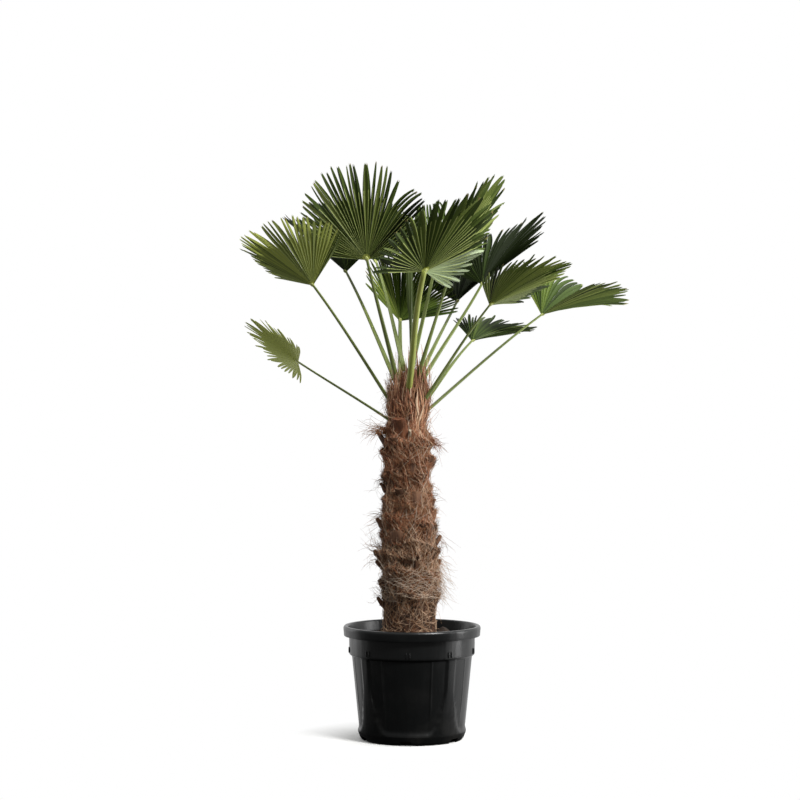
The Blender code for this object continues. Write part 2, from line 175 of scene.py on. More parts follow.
def make_floor():
    """A disc on a grid of bearing and radius; its radii grow by the square, finest under the pot."""
    rows, columns = FLOOR_GRID
    radii = 0.02 + FLOOR_REACH * np.linspace(0, 1, columns)[None, :] ** 2
    painted, tree, shader = new_material("painted_floor", FLOOR_WHITE, 0.9)
    # To the camera it is white paint that fades into the white surround. To all else it is a glowing card,
    # a painted light, dark in front of the pot and bright beside and behind it, which lights the fans from
    # below without noise
    place = add_node(tree, "ShaderNodeTexCoord").outputs["Object"]
    far = add_node(tree, "ShaderNodeVectorMath", {0: place}, operation="LENGTH").outputs["Value"]
    behind, _ = behind_or_right(tree, place, CARD_TO_RIGHT)
    beside = add_node(tree, "ShaderNodeMapRange", {"Value": behind, **CARD_BAND})
    outer = add_node(tree, "ShaderNodeMapRange", {"Value": far, **OUTER_BAND})
    lit = add_node(tree, "ShaderNodeMath", {0: beside, 1: outer}, operation="MAXIMUM")
    card = add_node(tree, "ShaderNodeEmission", {"Color": WHITE, "Strength": lit})
    fade = add_node(tree, "ShaderNodeMapRange", {"Value": far, **FADE_BAND})
    faded = add_node(tree, "ShaderNodeEmission", {"Color": WHITE, "Strength": 1.0})
    seen = add_node(tree, "ShaderNodeMixShader", {0: fade, 1: shader, 2: faded})
    ray = add_node(tree, "ShaderNodeLightPath").outputs["Is Camera Ray"]
    both = add_node(tree, "ShaderNodeMixShader", {0: ray, 1: card, 2: seen})
    tree.links.new(both.outputs[0], tree.nodes["Material Output"].inputs["Surface"])
    faces = grid_faces(rows, columns, closed_rows=True)[:, ::-1]
    return new_mesh_object("floor", around(radii, all_round(rows)[:, None], 0.0), [faces], [painted])


def hang_light(name, kind, power, place, turn, **settings):
    """A lamp at a place, turned by angles in radians."""
    lamp = bpy.data.lights.new(name, kind)
    lamp.energy = power
    for setting, value in settings.items():
        setattr(lamp, setting, value)
    hung = bpy.data.objects.new(name, lamp)
    hung.location = place
    hung.rotation_euler = turn
    bpy.context.scene.collection.objects.link(hung)


def light_studio():
    """A surround that is white to the camera, with its light dealt out by direction, a soft sun and boxes."""
    world = bpy.data.worlds.new("studio")
    bpy.context.scene.world = world
    world.use_nodes = True
    tree = world.node_tree
    tree.nodes.clear()
    direction = add_node(tree, "ShaderNodeTexCoord").outputs["Generated"]
    behind, upward = behind_or_right(tree, direction, SURROUND_TO_RIGHT)
    sides = add_node(tree, "ShaderNodeMapRange", {"Value": behind, **SIDE_BAND},
                     interpolation_type="SMOOTHSTEP")
    above = add_node(tree, "ShaderNodeMapRange", {"Value": upward, **TOP_BAND},
                     interpolation_type="SMOOTHSTEP")
    lit = add_node(tree, "ShaderNodeMath", {0: sides, 1: above}, operation="MAXIMUM")
    fill = add_node(tree, "ShaderNodeBackground", {"Color": WHITE, "Strength": lit})
    seen = add_node(tree, "ShaderNodeBackground", {"Color": WHITE, "Strength": 1.0})
    ray = add_node(tree, "ShaderNodeLightPath").outputs["Is Camera Ray"]
    both = add_node(tree, "ShaderNodeMixShader", {0: ray, 1: fill, 2: seen})
    add_node(tree, "ShaderNodeOutputWorld", {"Surface": both})

    strength, softness, tilt = OVERHEAD
    hang_light("overhead", "SUN", strength, (0.0, 0.0, 0.0), np.radians(tilt), angle=math.radians(softness))
    for name, place, (wide, tall), power in SIDE_BOXES:
        away = np.subtract(place, BOX_AIM)
        turn = (math.atan2(math.hypot(away[0], away[1]), away[2]), 0.0, math.atan2(away[0], -away[1]))
        hang_light(name, "AREA", power, place, turn, shape="RECTANGLE", size=wide, size_y=tall)


make_floor()
light_studio()
bpy.context.scene.view_settings.view_transform = "Standard"


# Pot: a 65-litre nursery container, injection-moulded in black polypropylene and left as it came from the
# mould. Its wall is one shell turned about the axis, with four pressed-in panels, a collar with ribbed
# lugs, a rim that turns out and down, and drain notches cut round the foot.
_, POT_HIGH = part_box("pot")
POT_HEIGHT = POT_HIGH.z
RIM_RADIUS = POT_HIGH.x
MOUTH_RADIUS = 0.2325
COLLAR_RADIUS = 0.229
COLLAR_FOOT = 0.310
COLLAR_STEP = 0.0035
BODY_TOP_RADIUS = 0.2245
BODY_FOOT_RADIUS = 0.194
FOOT_ROUND = 0.012
RIM_DROP = 0.036
POT_WALL = 0.004
POT_FLOOR = 0.005
EDGE_ROUND = 0.0022
LONGEST_STEP = 0.009
DRAIN_HOLE_RADIUS = 0.022
PANELS = 4
PANEL_TURN = math.radians(-95.5)
PANEL_DEPTH = 0.0050
PANEL_FOOT = (0.034, 0.15, 18.0, 22.0)  # lowest height, rise, angle where it starts and angle it takes
PANEL_SLOPES = (0.012, 41.5, 3.5)  # height of the foot's slope, angle where the side ends and angle it takes
PANEL_BEAD = (24.0, 0.9, 0.0014)  # angle, half breadth as an angle and how far it stands
BEAD_FADE = (0.085, 0.05)  # height where it starts and height that its fading takes
DRAIN_NOTCHES = 6
DRAIN_TURN = math.radians(-97.0)
DRAIN_SIZE = (0.050, 0.040, 0.016)  # depth, breadth and height above the ground
LUGS = 9
LUG_TURN = math.radians(-94.0)
LUG_RIB = (0.0038, 0.0024, 0.0105)  # breadth, depth and half height
LUG_RIB_APART = 0.013
LUG_RISE = 0.014
RIB_GRID = (12, 9)
POT_BLACK = "#0D0E0E"
POT_DUST = "#33312E"


def rounded(corners, radius, steps=4):
    """A profile's corners, each cut back by the radius and replaced by a short quadratic curve."""
    corners = np.array(corners, float)
    before, after = np.roll(corners, 1, axis=0), np.roll(corners, -1, axis=0)
    share = np.linspace(0, 1, steps)[:, None]
    made = []
    for last, corner, following in zip(before, corners, after):
        back, on = last - corner, following - corner
        start = corner + back * min(0.45, radius / np.linalg.norm(back))
        end = corner + on * min(0.45, radius / np.linalg.norm(on))
        made.append(start * (1 - share) ** 2 + 2 * corner * share * (1 - share) + end * share**2)
    return np.concatenate(made)


def split_long(profile, longest):
    """The closed profile with points added along every stretch over the given length."""
    made = []
    for point, following in zip(profile, np.roll(profile, -1, axis=0)):
        count = max(1, math.ceil(np.linalg.norm(following - point) / longest))
        made.append(point + (following - point) * np.arange(count)[:, None] / count)
    return np.concatenate(made)


def ramp(values, start, taken):
    """How far values have come through a band that begins at the start, held between 0 and 1."""
    return np.clip((values - start) / taken, 0, 1)


def eased(share):
    """A share held between 0 and 1 and eased at both ends."""
    share = np.clip(share, 0, 1)
    return share * share * (3 - 2 * share)


def panel_relief(bearings, heights):
    """How far in the wall lies: wide panels with a U-shaped foot, between four upright ribs.

    Each panel carries two thin raised lines, which run down from the collar and fade out.
    """
    pitch = 360 / PANELS
    across = np.abs((np.degrees(bearings - PANEL_TURN) / pitch + 0.5) % 1.0 - 0.5) * pitch
    lowest, climb, start, taken = PANEL_FOOT
    foot_slope, side_end, side_slope = PANEL_SLOPES
    foot = lowest + climb * ramp(across, start, taken) ** 3
    rise = eased((heights - foot) / foot_slope)
    side = eased((side_end - across) / side_slope)
    under_collar = np.clip((COLLAR_FOOT - 0.003 - heights) / 0.005, 0, 1)
    place, half, stands = PANEL_BEAD
    line = stands * np.exp(-(((across - place) / half) ** 2)) * ramp(heights, *BEAD_FADE)
    inner = 0.0008 * eased((place - across) / 1.5)
    return (PANEL_DEPTH * rise * side - line + inner * rise) * under_collar


def wall_bearings():
    """Bearings round the pot, closer together at the panels' edges and lines."""
    edge, line = np.arange(37.5, 42.6, 0.7), np.arange(21.6, 26.5, 0.6)
    within = np.concatenate([np.arange(-45, 45, 3.0), edge, -edge, line, -line])
    every = np.concatenate([within + 360 / PANELS * panel for panel in range(PANELS)])
    return np.radians(np.unique(np.round(every, 3))) + PANEL_TURN


def level_axes(bearing):
    """Two level unit vectors: outward at a bearing, and along the wall there."""
    cos, sin, none = np.cos(bearing), np.sin(bearing), 0 * bearing
    return np.stack([cos, sin, none], axis=-1), np.stack([-sin, cos, none], axis=-1)


def blunted(wave):
    """A wave between -1 and 1 with its crests widened, which squares off a round form."""
    return np.sign(wave) * np.abs(wave) ** 0.5


def copies(faces, count, points_each):
    """The faces of one small mesh, repeated for a number of copies with so many points each."""
    return (faces[None] + points_each * np.arange(count)[:, None, None]).reshape(-1, faces.shape[-1])


def lug_ribs():
    """Rounded upright ribs, two to a lug: superellipsoids on a grid of bearing and height."""
    rows, columns = RIB_GRID
    turn, lift = np.meshgrid(all_round(rows), np.linspace(-math.pi / 2, math.pi / 2, columns), indexing="ij")
    across = blunted(np.cos(lift)) * np.cos(turn)
    outward = blunted(np.cos(lift)) * np.sin(turn)
    up = blunted(np.sin(lift))
    wide, deep, tall = LUG_RIB
    points = []
    for lug in range(LUGS):
        out, along = level_axes(LUG_TURN + lug * 2 * math.pi / LUGS)
        for side in (-0.5, 0.5):
            middle = out * (COLLAR_RADIUS + 0.0002) + along * side * LUG_RIB_APART
            middle[2] = COLLAR_FOOT + LUG_RISE
            points.append(middle + across[..., None] * wide / 2 * along + outward[..., None] * deep * out
                          + up[..., None] * [0, 0, tall])
    return np.array(points)


def notch_cutter():
    """Blocks across the pot's foot, one for each notch."""
    corner = np.array([(x, y, z) for x in (-0.5, 0.5) for y in (-0.5, 0.5) for z in (-1.0, 1.0)])
    sides = np.array([(0, 1, 3, 2), (4, 6, 7, 5), (0, 4, 5, 1), (2, 3, 7, 6), (0, 2, 6, 4), (1, 5, 7, 3)])
    outward, sideways, upward = (corner * DRAIN_SIZE).T[..., None]
    blocks = []
    for notch in range(DRAIN_NOTCHES):
        out, along = level_axes(DRAIN_TURN + notch * 2 * math.pi / DRAIN_NOTCHES)
        blocks.append(out * (BODY_FOOT_RADIUS - 0.005 + outward) + along * sideways + [0, 0, 1] * upward)
    return new_mesh_object("notch_cutter", blocks, [copies(sides, DRAIN_NOTCHES, 8)], [])


def make_pot():
    """The shell: the profile turned about the axis, notched by a Boolean, with its lugs set on."""
    skirt = RIM_RADIUS - POT_WALL
    rim_foot = POT_HEIGHT - RIM_DROP
    collar_low = BODY_TOP_RADIUS + COLLAR_STEP
    foot_edge = BODY_FOOT_RADIUS - FOOT_ROUND / 3
    body_low = BODY_FOOT_RADIUS + 0.003
    corners = (
        (DRAIN_HOLE_RADIUS, 0.0), (BODY_FOOT_RADIUS - FOOT_ROUND, 0.0), (foot_edge, FOOT_ROUND * 0.8),
        (body_low, 0.030), (BODY_TOP_RADIUS, COLLAR_FOOT - 0.006), (collar_low, COLLAR_FOOT),
        (COLLAR_RADIUS, rim_foot), (MOUTH_RADIUS + POT_WALL, POT_HEIGHT - POT_WALL),
        (skirt - 0.0015, POT_HEIGHT - POT_WALL), (skirt - 0.0015, rim_foot + 0.001),
        (skirt + 0.0015, rim_foot), (RIM_RADIUS, POT_HEIGHT - 0.007), (RIM_RADIUS - 0.004, POT_HEIGHT),
        (MOUTH_RADIUS + 0.003, POT_HEIGHT), (MOUTH_RADIUS, POT_HEIGHT - 0.004),
        (COLLAR_RADIUS - POT_WALL, rim_foot), (collar_low - POT_WALL, COLLAR_FOOT + 0.003),
        (BODY_TOP_RADIUS - POT_WALL, COLLAR_FOOT - 0.003), (body_low - POT_WALL, 0.030),
        (foot_edge - POT_WALL, POT_FLOOR + 0.005), (foot_edge - POT_WALL - FOOT_ROUND / 2, POT_FLOOR),
        (DRAIN_HOLE_RADIUS, POT_FLOOR),
    )
    profile = split_long(rounded(corners, EDGE_ROUND), LONGEST_STEP)
    bearings = wall_bearings()[:, None]
    radii, heights = profile[None, :, 0], profile[None, :, 1]
    radii = radii - panel_relief(bearings, heights) * (radii > BODY_FOOT_RADIUS - 0.01)
    faces = grid_faces(len(bearings), len(profile), True, True)
    polypropylene = make_polypropylene()
    pot = new_mesh_object("nursery_pot", around(radii, bearings, heights), [faces], [polypropylene])

    cutter = notch_cutter()
    cut = pot.modifiers.new("notches", "BOOLEAN")
    cut.operation = "DIFFERENCE"
    cut.object = cutter
    bpy.context.view_layer.update()
    graph = bpy.context.evaluated_depsgraph_get()
    notched = bpy.data.meshes.new_from_object(pot.evaluated_get(graph))
    pot.modifiers.clear()
    pot.data = notched
    bpy.data.objects.remove(cutter)
    notched.set_sharp_from_angle(angle=math.radians(32))

    ribs = lug_ribs()
    rib_faces = copies(grid_faces(*RIB_GRID, closed_rows=True), len(ribs), RIB_GRID[0] * RIB_GRID[1])
    lugs = new_mesh_object("pot_lugs", ribs, [rib_faces], [polypropylene])
    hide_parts("pot")
    for piece in (pot, lugs):
        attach(piece, "root")


def make_polypropylene():
    """Black polypropylene: a soft even gloss from a fine-grained mould, dusty where soil has splashed."""
    material, tree, shader = new_material("moulded_polypropylene", POT_BLACK, 0.34)
    shader.inputs["Specular IOR Level"].default_value = 0.4
    place = add_node(tree, "ShaderNodeTexCoord").outputs["Object"]
    cloud = add_node(tree, "ShaderNodeTexNoise", {"Vector": place, "Scale": 9.0, "Detail": 6.0,
                                                  "Roughness": 0.65})
    height = add_node(tree, "ShaderNodeSeparateXYZ", {"Vector": place}).outputs["Z"]
    low = add_node(tree, "ShaderNodeMapRange", {"Value": height, "From Min": 0.0, "From Max": 0.12,
                                                "To Min": 1.0, "To Max": 0.25})
    dusty = add_node(tree, "ShaderNodeMapRange", {"Value": cloud, "From Min": 0.48, "From Max": 0.80,
                                                  "To Min": 0.0, "To Max": 0.55})
    amount = add_node(tree, "ShaderNodeMath", {0: dusty, 1: low}, operation="MULTIPLY")
    tint = add_node(tree, "ShaderNodeMix", {"Factor": amount, "A": to_linear(POT_BLACK),
                                            "B": to_linear(POT_DUST)}, data_type="RGBA")
    tree.links.new(tint.outputs["Result"], shader.inputs["Base Color"])
    rough = add_node(tree, "ShaderNodeMapRange", {"Value": cloud, "To Min": 0.24, "To Max": 0.42})
    tree.links.new(rough.outputs[0], shader.inputs["Roughness"])
    # Long shallow ripples where the melt ran down the wall, and on them mould grain of about 1 mm
    flow = add_node(tree, "ShaderNodeMapping", {"Vector": place, "Scale": (26.0, 26.0, 3.0)})
    ripple = add_node(tree, "ShaderNodeTexNoise", {"Vector": flow, "Scale": 1.0, "Detail": 2.0})
    waves = add_node(tree, "ShaderNodeBump", {"Height": ripple, "Strength": 0.5, "Distance": 0.004})
    grain = add_node(tree, "ShaderNodeTexNoise", {"Vector": place, "Scale": 700.0, "Detail": 2.0})
    fine = add_node(tree, "ShaderNodeBump", {"Height": grain, "Strength": 0.10, "Distance": 0.0006,
                                             "Normal": waves})
    tree.links.new(fine.outputs[0], shader.inputs["Normal"])
    return material


make_pot()


# Soil: moist peat compost with bark, level round the trunk and sunk a little at the wall. Its crumbs are
# loose lumps of peat, chips of bark and bits of root that lie on it.
SOIL_TOP = 0.377
SOIL_EDGE_TOP = 0.368
SOIL_EDGE_RADIUS = 0.2235
SOIL_BODY = ((0.03, 0.0062), (0.170, 0.0062), (0.186, 0.030), (0.2145, 0.302), (0.2225, 0.318))
SOIL_GRID = (220, 44)
SOIL_ROUGH = 0.0022
MOUND = (0.114, -0.012, 0.026, 0.030)  # x, y, breadth, height
CRUMBS = (  # name, number, half length, flatness, dark colour, light colour
    ("peat_crumbs", 1500, 0.0042, 0.75, "#241A12", "#3B2B1D"),
    ("bark_chips", 420, 0.0075, 0.32, "#4A3324", "#6E4F38"),
    ("root_bits", 320, 0.0065, 0.28, "#7A6142", "#A58A62"),
)
CRUMB_RING = (0.105, 0.216)
PEAT = ("#1C140E", "#3A2A1C")


def wavy(points, pitch, seed):
    """Smooth noise between -1 and 1: a sum of plane waves in random directions, about one pitch long."""
    chance = np.random.default_rng(seed)
    heading = chance.normal(size=(9, points.shape[-1]))
    heading /= np.linalg.norm(heading, axis=1, keepdims=True)
    pace = 2 * math.pi / pitch * chance.uniform(0.6, 1.7, 9)
    phase = chance.uniform(0, 2 * math.pi, 9)
    return np.sin(points @ (heading * pace[:, None]).T + phase).mean(axis=-1) * 1.8


def rotated(x, y, angle):
    """Two coordinates, turned together by an angle."""
    return x * np.cos(angle) - y * np.sin(angle), x * np.sin(angle) + y * np.cos(angle)


def soil_level(radii):
    """The soil's height at a radius."""
    return np.interp(radii, (0.135, SOIL_EDGE_RADIUS), (SOIL_TOP, SOIL_EDGE_TOP))


def mound(points):
    """The heap of peat and torn fibre that leans on the right side of the trunk's foot."""
    x, y, breadth, height = MOUND
    return height * np.exp(-((points[..., 0] - x) ** 2 + (points[..., 1] - y) ** 2) / breadth**2)


def mottle(tree, shader, pattern, band, dark, light):
    """Mottled colour: it runs from dark to light as the pattern climbs through a band of its values."""
    share = add_node(tree, "ShaderNodeMapRange", {"Value": pattern, "From Min": band[0], "From Max": band[1]})
    tint = add_node(tree, "ShaderNodeMix", {"Factor": share, "A": to_linear(dark), "B": to_linear(light)},
                    data_type="RGBA")
    tree.links.new(tint.outputs["Result"], shader.inputs["Base Color"])


def make_compost(name, dark, light, scale):
    """Moist compost: dull, dark and mottled, in lumps of a few millimetres."""
    material, tree, shader = new_material(name, dark, 0.92)
    place = add_node(tree, "ShaderNodeTexCoord").outputs["Object"]
    lumps = add_node(tree, "ShaderNodeTexNoise", {"Vector": place, "Scale": scale, "Detail": 7.0,
                                                  "Roughness": 0.7})
    mottle(tree, shader, lumps, (0.35, 0.7), dark, light)
    bump = add_node(tree, "ShaderNodeBump", {"Height": lumps, "Strength": 0.8, "Distance": 0.003})
    tree.links.new(bump.outputs[0], shader.inputs["Normal"])
    return material


def make_soil():
    """The filling, turned about the axis from a closed profile, its top roughened by noise."""
    rows, columns = SOIL_GRID
    top = np.linspace(SOIL_EDGE_RADIUS, SOIL_BODY[0][0], columns)
    profile = np.concatenate([SOIL_BODY, np.stack([top, soil_level(top)], axis=1)])
    radii, heights = profile[None, :, 0], profile[None, :, 1]
    points = around(radii, all_round(rows)[:, None], heights)
    loose = (heights > SOIL_EDGE_TOP - 0.001) * (radii < SOIL_EDGE_RADIUS - 0.001)
    rough = wavy(points, 0.030, 3) * 0.6 + wavy(points, 0.009, 4) * 0.4
    points[..., 2] += loose * (SOIL_ROUGH * rough + mound(points))
    faces = grid_faces(rows, len(profile), True, True)
    soil = new_mesh_object("compost", points, [faces], [make_compost("peat_compost", *PEAT, 90.0)])
    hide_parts("soil")
    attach(soil, "root")


def make_crumbs(name, count, half_length, flatness, dark, light, seed):
    """Loose lumps: eight-faced stones with jittered corners, scattered on the soil by a seeded rule."""
    chance = np.random.default_rng(seed)
    near, far = CRUMB_RING
    radii = np.sqrt(chance.uniform(near**2, far**2, (count, 1)))
    middles = around(radii, chance.uniform(0, 2 * math.pi, (count, 1)), soil_level(radii))
    middles[..., 2] += mound(middles)
    middles[..., 2] += 0.0008
    ends = np.array([(1, 0, 0), (0, 1, 0), (-1, 0, 0), (0, -1, 0), (0, 0, 1), (0, 0, -1)], float)
    corners = ends[None] * chance.uniform(0.55, 1.25, (count, 6, 1)) + chance.normal(0, 0.16, (count, 6, 3))
    corners[..., 2] *= flatness
    corners[..., 1] *= chance.uniform(0.4, 0.9, (count, 1))
    swing, tip = chance.uniform(0, 2 * math.pi, (2, count, 1))
    x, y, z = np.moveaxis(corners, -1, 0)
    turned = np.stack([*rotated(x, y, swing), z + 0.25 * x * np.cos(tip)], axis=-1)
    size = half_length * chance.lognormal(-0.25, 0.42, (count, 1, 1)).clip(0.3, 1.9)
    points = middles + turned * size
    points[..., 2] = np.minimum(points[..., 2], POT_HEIGHT - 0.02)
    each = np.array([(0, 1, 4), (1, 2, 4), (2, 3, 4), (3, 0, 4), (1, 0, 5), (2, 1, 5), (3, 2, 5), (0, 3, 5)])
    crumbs = new_mesh_object(name, points, [copies(each, count, 6)], [make_compost(name, dark, light, 160.0)],
                             smooth=False)
    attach(crumbs, "root")


make_soil()
for seed, crumb in enumerate(CRUMBS):
    make_crumbs(*crumb, seed=20 + seed)


# Trunk: an upright stem wrapped in its old leaf sheaths, which overlap upwards like shingles and have
# rotted to a brown felt. This piece is the felt: leaf bases, hair and ribbons have their own sections.
TRUNK_X = -0.010
STATIONS = (  # height above the soil, radius
    (0.000, 0.106), (0.035, 0.097), (0.110, 0.090), (0.210, 0.093), (0.300, 0.096), (0.400, 0.089),
    (0.520, 0.078), (0.660, 0.077), (0.735, 0.072), (0.775, 0.069), (0.830, 0.080), (0.885, 0.082),
    (0.940, 0.078), (0.975, 0.065), (1.003, 0.038),
)
TRUNK_TOP = SOIL_TOP + STATIONS[-1][0]
TRUNK_GRID = (220, 300)
BOOTS = 44
BOOT_FIRST = 0.055
BOOT_LAST = 0.660
BOOT_LENGTH = 0.095
BOOT_WIDTH = 0.056
BOOT_THICKNESS = 0.017
BOOT_STAND_OFF = 0.030
GOLDEN_ANGLE = math.radians(137.508)
SHEATH_HALF_WIDTH = math.radians(95.0)
SHEATH_LIFT = 0.0130
SHEATH_SINK = 0.0075
SHEATH_BOW = 0.030
HOLLOWS = (  # bearing, height, half breadth as an angle, half height, depth
    (268, 0.640, 0.36, 0.017, 0.020), (291, 0.771, 0.20, 0.013, 0.018), (250, 0.905, 0.24, 0.012, 0.012),
    (285, 0.985, 0.26, 0.014, 0.014), (262, 1.095, 0.40, 0.012, 0.014), (20, 0.700, 0.30, 0.014, 0.016),
    (120, 0.820, 0.30, 0.014, 0.016), (75, 0.960, 0.26, 0.014, 0.014), (160, 0.600, 0.26, 0.014, 0.016),
)
FELT_DARK = "#2C1B10"
FELT_BROWN = "#6B4730"
FELT_RUSSET = "#8A583C"


def trunk_radius(heights):
    """The column's radius at heights above the ground."""
    above, radii = zip(*STATIONS)
    return np.interp(np.asarray(heights) - SOIL_TOP, above, radii)


def boot_places():
    """Each old leaf base's foot height, bearing, length and stand-off: one spiral at the golden angle."""
    chance = np.random.default_rng(11)
    rows = []
    for index in range(BOOTS):
        foot = SOIL_TOP + BOOT_FIRST + index / (BOOTS - 1) * (BOOT_LAST - BOOT_FIRST)
        bearing = index * GOLDEN_ANGLE + chance.uniform(-0.1, 0.1)
        length = BOOT_LENGTH * chance.uniform(0.8, 1.15)
        rows.append((foot, bearing, length, BOOT_STAND_OFF * chance.uniform(0.35, 1.1)))
    return np.array(rows)


def angle_from(bearings, bearing):
    """How far bearings lie from one bearing, the short way round."""
    return (bearings - bearing + math.pi) % (2 * math.pi) - math.pi


def column_radius(bearings, heights):
    """The column with its slight lean to the left and its waist, which the felt and the bases sit on."""
    waist = 0.005 * np.exp(-((heights - 0.90) / 0.10) ** 2)
    return trunk_radius(heights) - 0.008 * ramp(heights, 0.72, 0.25) * np.cos(bearings) - waist


def felt_relief(bearings, heights, places):
    """How far the felt stands off the column: the highest of the sheaths that overlap there.

    A sheath rises slowly from nothing at its foot and flares at its ragged upper edge, which is highest
    over the old leaf's middle, where the leaf's base pushes it out into a pocket. Beyond that edge the one
    behind it shows. A few hollows are sunk in it.
    """
    ragged = wavy(places, 0.35, 6) * 0.013 + wavy(places, 0.12, 7) * 0.009
    best = np.zeros_like(bearings)
    for foot, bearing, length, stand_off in boot_places():
        off = angle_from(bearings, bearing)
        edge = foot + length * 0.98 - SHEATH_BOW * (off / SHEATH_HALF_WIDTH) ** 2 + ragged
        share = (heights - foot + 0.02) / (edge - foot + 0.02)
        inside = (share > 0) & (share < 1) & (np.abs(off) < SHEATH_HALF_WIDTH)
        thinning = 1 - (off / SHEATH_HALF_WIDTH) ** 4
        swell = 0.15 + 0.5 * share + 0.35 * share**8
        pocket = (0.006 + 0.45 * stand_off) * np.clip(share, 0, 1) ** 2.5 * np.exp(-((off / 0.45) ** 4))
        best = np.maximum(best, np.where(inside, SHEATH_LIFT * swell * thinning + pocket, 0))
    for bearing, height, breadth, tall, depth in HOLLOWS:
        off = angle_from(bearings, math.radians(bearing))
        best = best - depth * np.exp(-((off / breadth) ** 4) - ((heights - height) / tall) ** 4)
    return best * (1 - 0.5 * ramp(heights - SOIL_TOP, 0.70, 0.08)) - SHEATH_SINK


def felt_radius(bearings, heights):
    """The felt's radius about the trunk's axis, with its lumps, upright streaks and pointed top."""
    places, streaks = around(1, bearings, heights * 7.0), around(3, bearings, heights * 3.0)
    lumps = wavy(places, 0.55, 8) * 0.0034 + wavy(places, 0.20, 9) * 0.0018 + wavy(streaks, 0.16, 10) * 0.0009
    stands = column_radius(bearings, heights) + felt_relief(bearings, heights, places) + lumps
    return np.maximum(stands - 0.065 * ramp(heights, 1.20, 0.15), 0.003)


def make_felt():
    """Rotted palm fibre: dull, mottled in blots from near black to brown, and russet towards the top."""
    material, tree, shader = new_material("fibre_felt", FELT_BROWN, 0.95)
    place = add_node(tree, "ShaderNodeTexCoord").outputs["Object"]
    drawn_out = add_node(tree, "ShaderNodeMapping", {"Vector": place, "Scale": (1.0, 1.0, 0.35)})
    blots = add_node(tree, "ShaderNodeTexNoise", {"Vector": drawn_out, "Scale": 38.0, "Detail": 8.0,
                                                  "Roughness": 0.72})
    darkness = add_node(tree, "ShaderNodeMapRange", {"Value": blots, "From Min": 0.36, "From Max": 0.66})
    tint = add_node(tree, "ShaderNodeMix", {"Factor": darkness, "A": to_linear(FELT_DARK),
                                            "B": to_linear(FELT_BROWN)}, data_type="RGBA")
    height = add_node(tree, "ShaderNodeSeparateXYZ", {"Vector": place}).outputs["Z"]
    upward = add_node(tree, "ShaderNodeMapRange", {"Value": height, "From Min": 0.95, "From Max": 1.25,
                                                   "To Min": 0.0, "To Max": 0.6})
    warm = add_node(tree, "ShaderNodeMix", {"Factor": upward, "A": tint.outputs["Result"],
                                            "B": to_linear(FELT_RUSSET)}, data_type="RGBA")
    tree.links.new(warm.outputs["Result"], shader.inputs["Base Color"])
    threads = add_node(tree, "ShaderNodeTexNoise", {"Vector": place, "Scale": 420.0, "Detail": 3.0})
    bump = add_node(tree, "ShaderNodeBump", {"Height": threads, "Strength": 0.9, "Distance": 0.002})
    tree.links.new(bump.outputs[0], shader.inputs["Normal"])
    return material


def make_trunk():
    """The felt on a grid of bearing and height, closed by its flat cut below and its tip above."""
    rows, columns = TRUNK_GRID
    bearings = all_round(rows)[:, None]
    heights = SOIL_TOP + 0.0004 + np.linspace(0, STATIONS[-1][0], columns)[None, :]
    radii = felt_radius(bearings + 0 * heights, heights + 0 * bearings)
    column = around(radii, bearings, heights, TRUNK_X).reshape(-1, 3)
    points = np.vstack([column, (TRUNK_X, 0.0, heights[0, 0]), (TRUNK_X, 0.0, TRUNK_TOP + 0.004)])
    turn = np.arange(rows) * columns
    after, hub = np.roll(turn, -1), np.full(rows, rows * columns)
    foot = np.stack([after, turn, hub], axis=1)
    tip = np.stack([turn, after, hub], axis=1) + (columns - 1, columns - 1, 1)
    faces = [grid_faces(rows, columns, closed_rows=True)[:, ::-1], np.concatenate([foot, tip])[:, ::-1]]
    trunk = new_mesh_object("trunk_felt", points, faces, [make_felt()])
    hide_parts("trunk")
    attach(trunk, "root")


make_trunk()


# Cut leaf bases: what is left of the older leaves, sawn off close to the trunk. Each is a flattened woody
# tongue that rises out of the felt and stands off at its sawn end. They share the trunk's spiral.
BOOT_SIDES = 14
SAWN = (  # share of the length, width, thickness, share of the stand-off
    (0.0, 0.8, 0.7, -0.3), (0.28, 0.95, 0.95, -0.12), (0.55, 1.0, 1.0, 0.0), (0.76, 0.92, 0.92, 0.42),
    (0.92, 0.82, 0.85, 0.84), (1.0, 0.74, 0.80, 1.0), (1.0, 0.52, 0.40, 1.0), (0.975, 0.2, 0.15, 0.96),
)
BROKEN = (
    (0.0, 0.9, 1.5, -0.55), (0.28, 1.15, 1.7, 0.02), (0.55, 1.0, 1.4, 0.46), (0.76, 0.82, 1.1, 0.74),
    (0.92, 0.66, 0.85, 0.93), (1.0, 0.52, 0.62, 1.0), (1.0, 0.40, 0.35, 1.0), (0.975, 0.2, 0.15, 0.96),
)
CUT_FROM = 5  # the station where the cut face begins
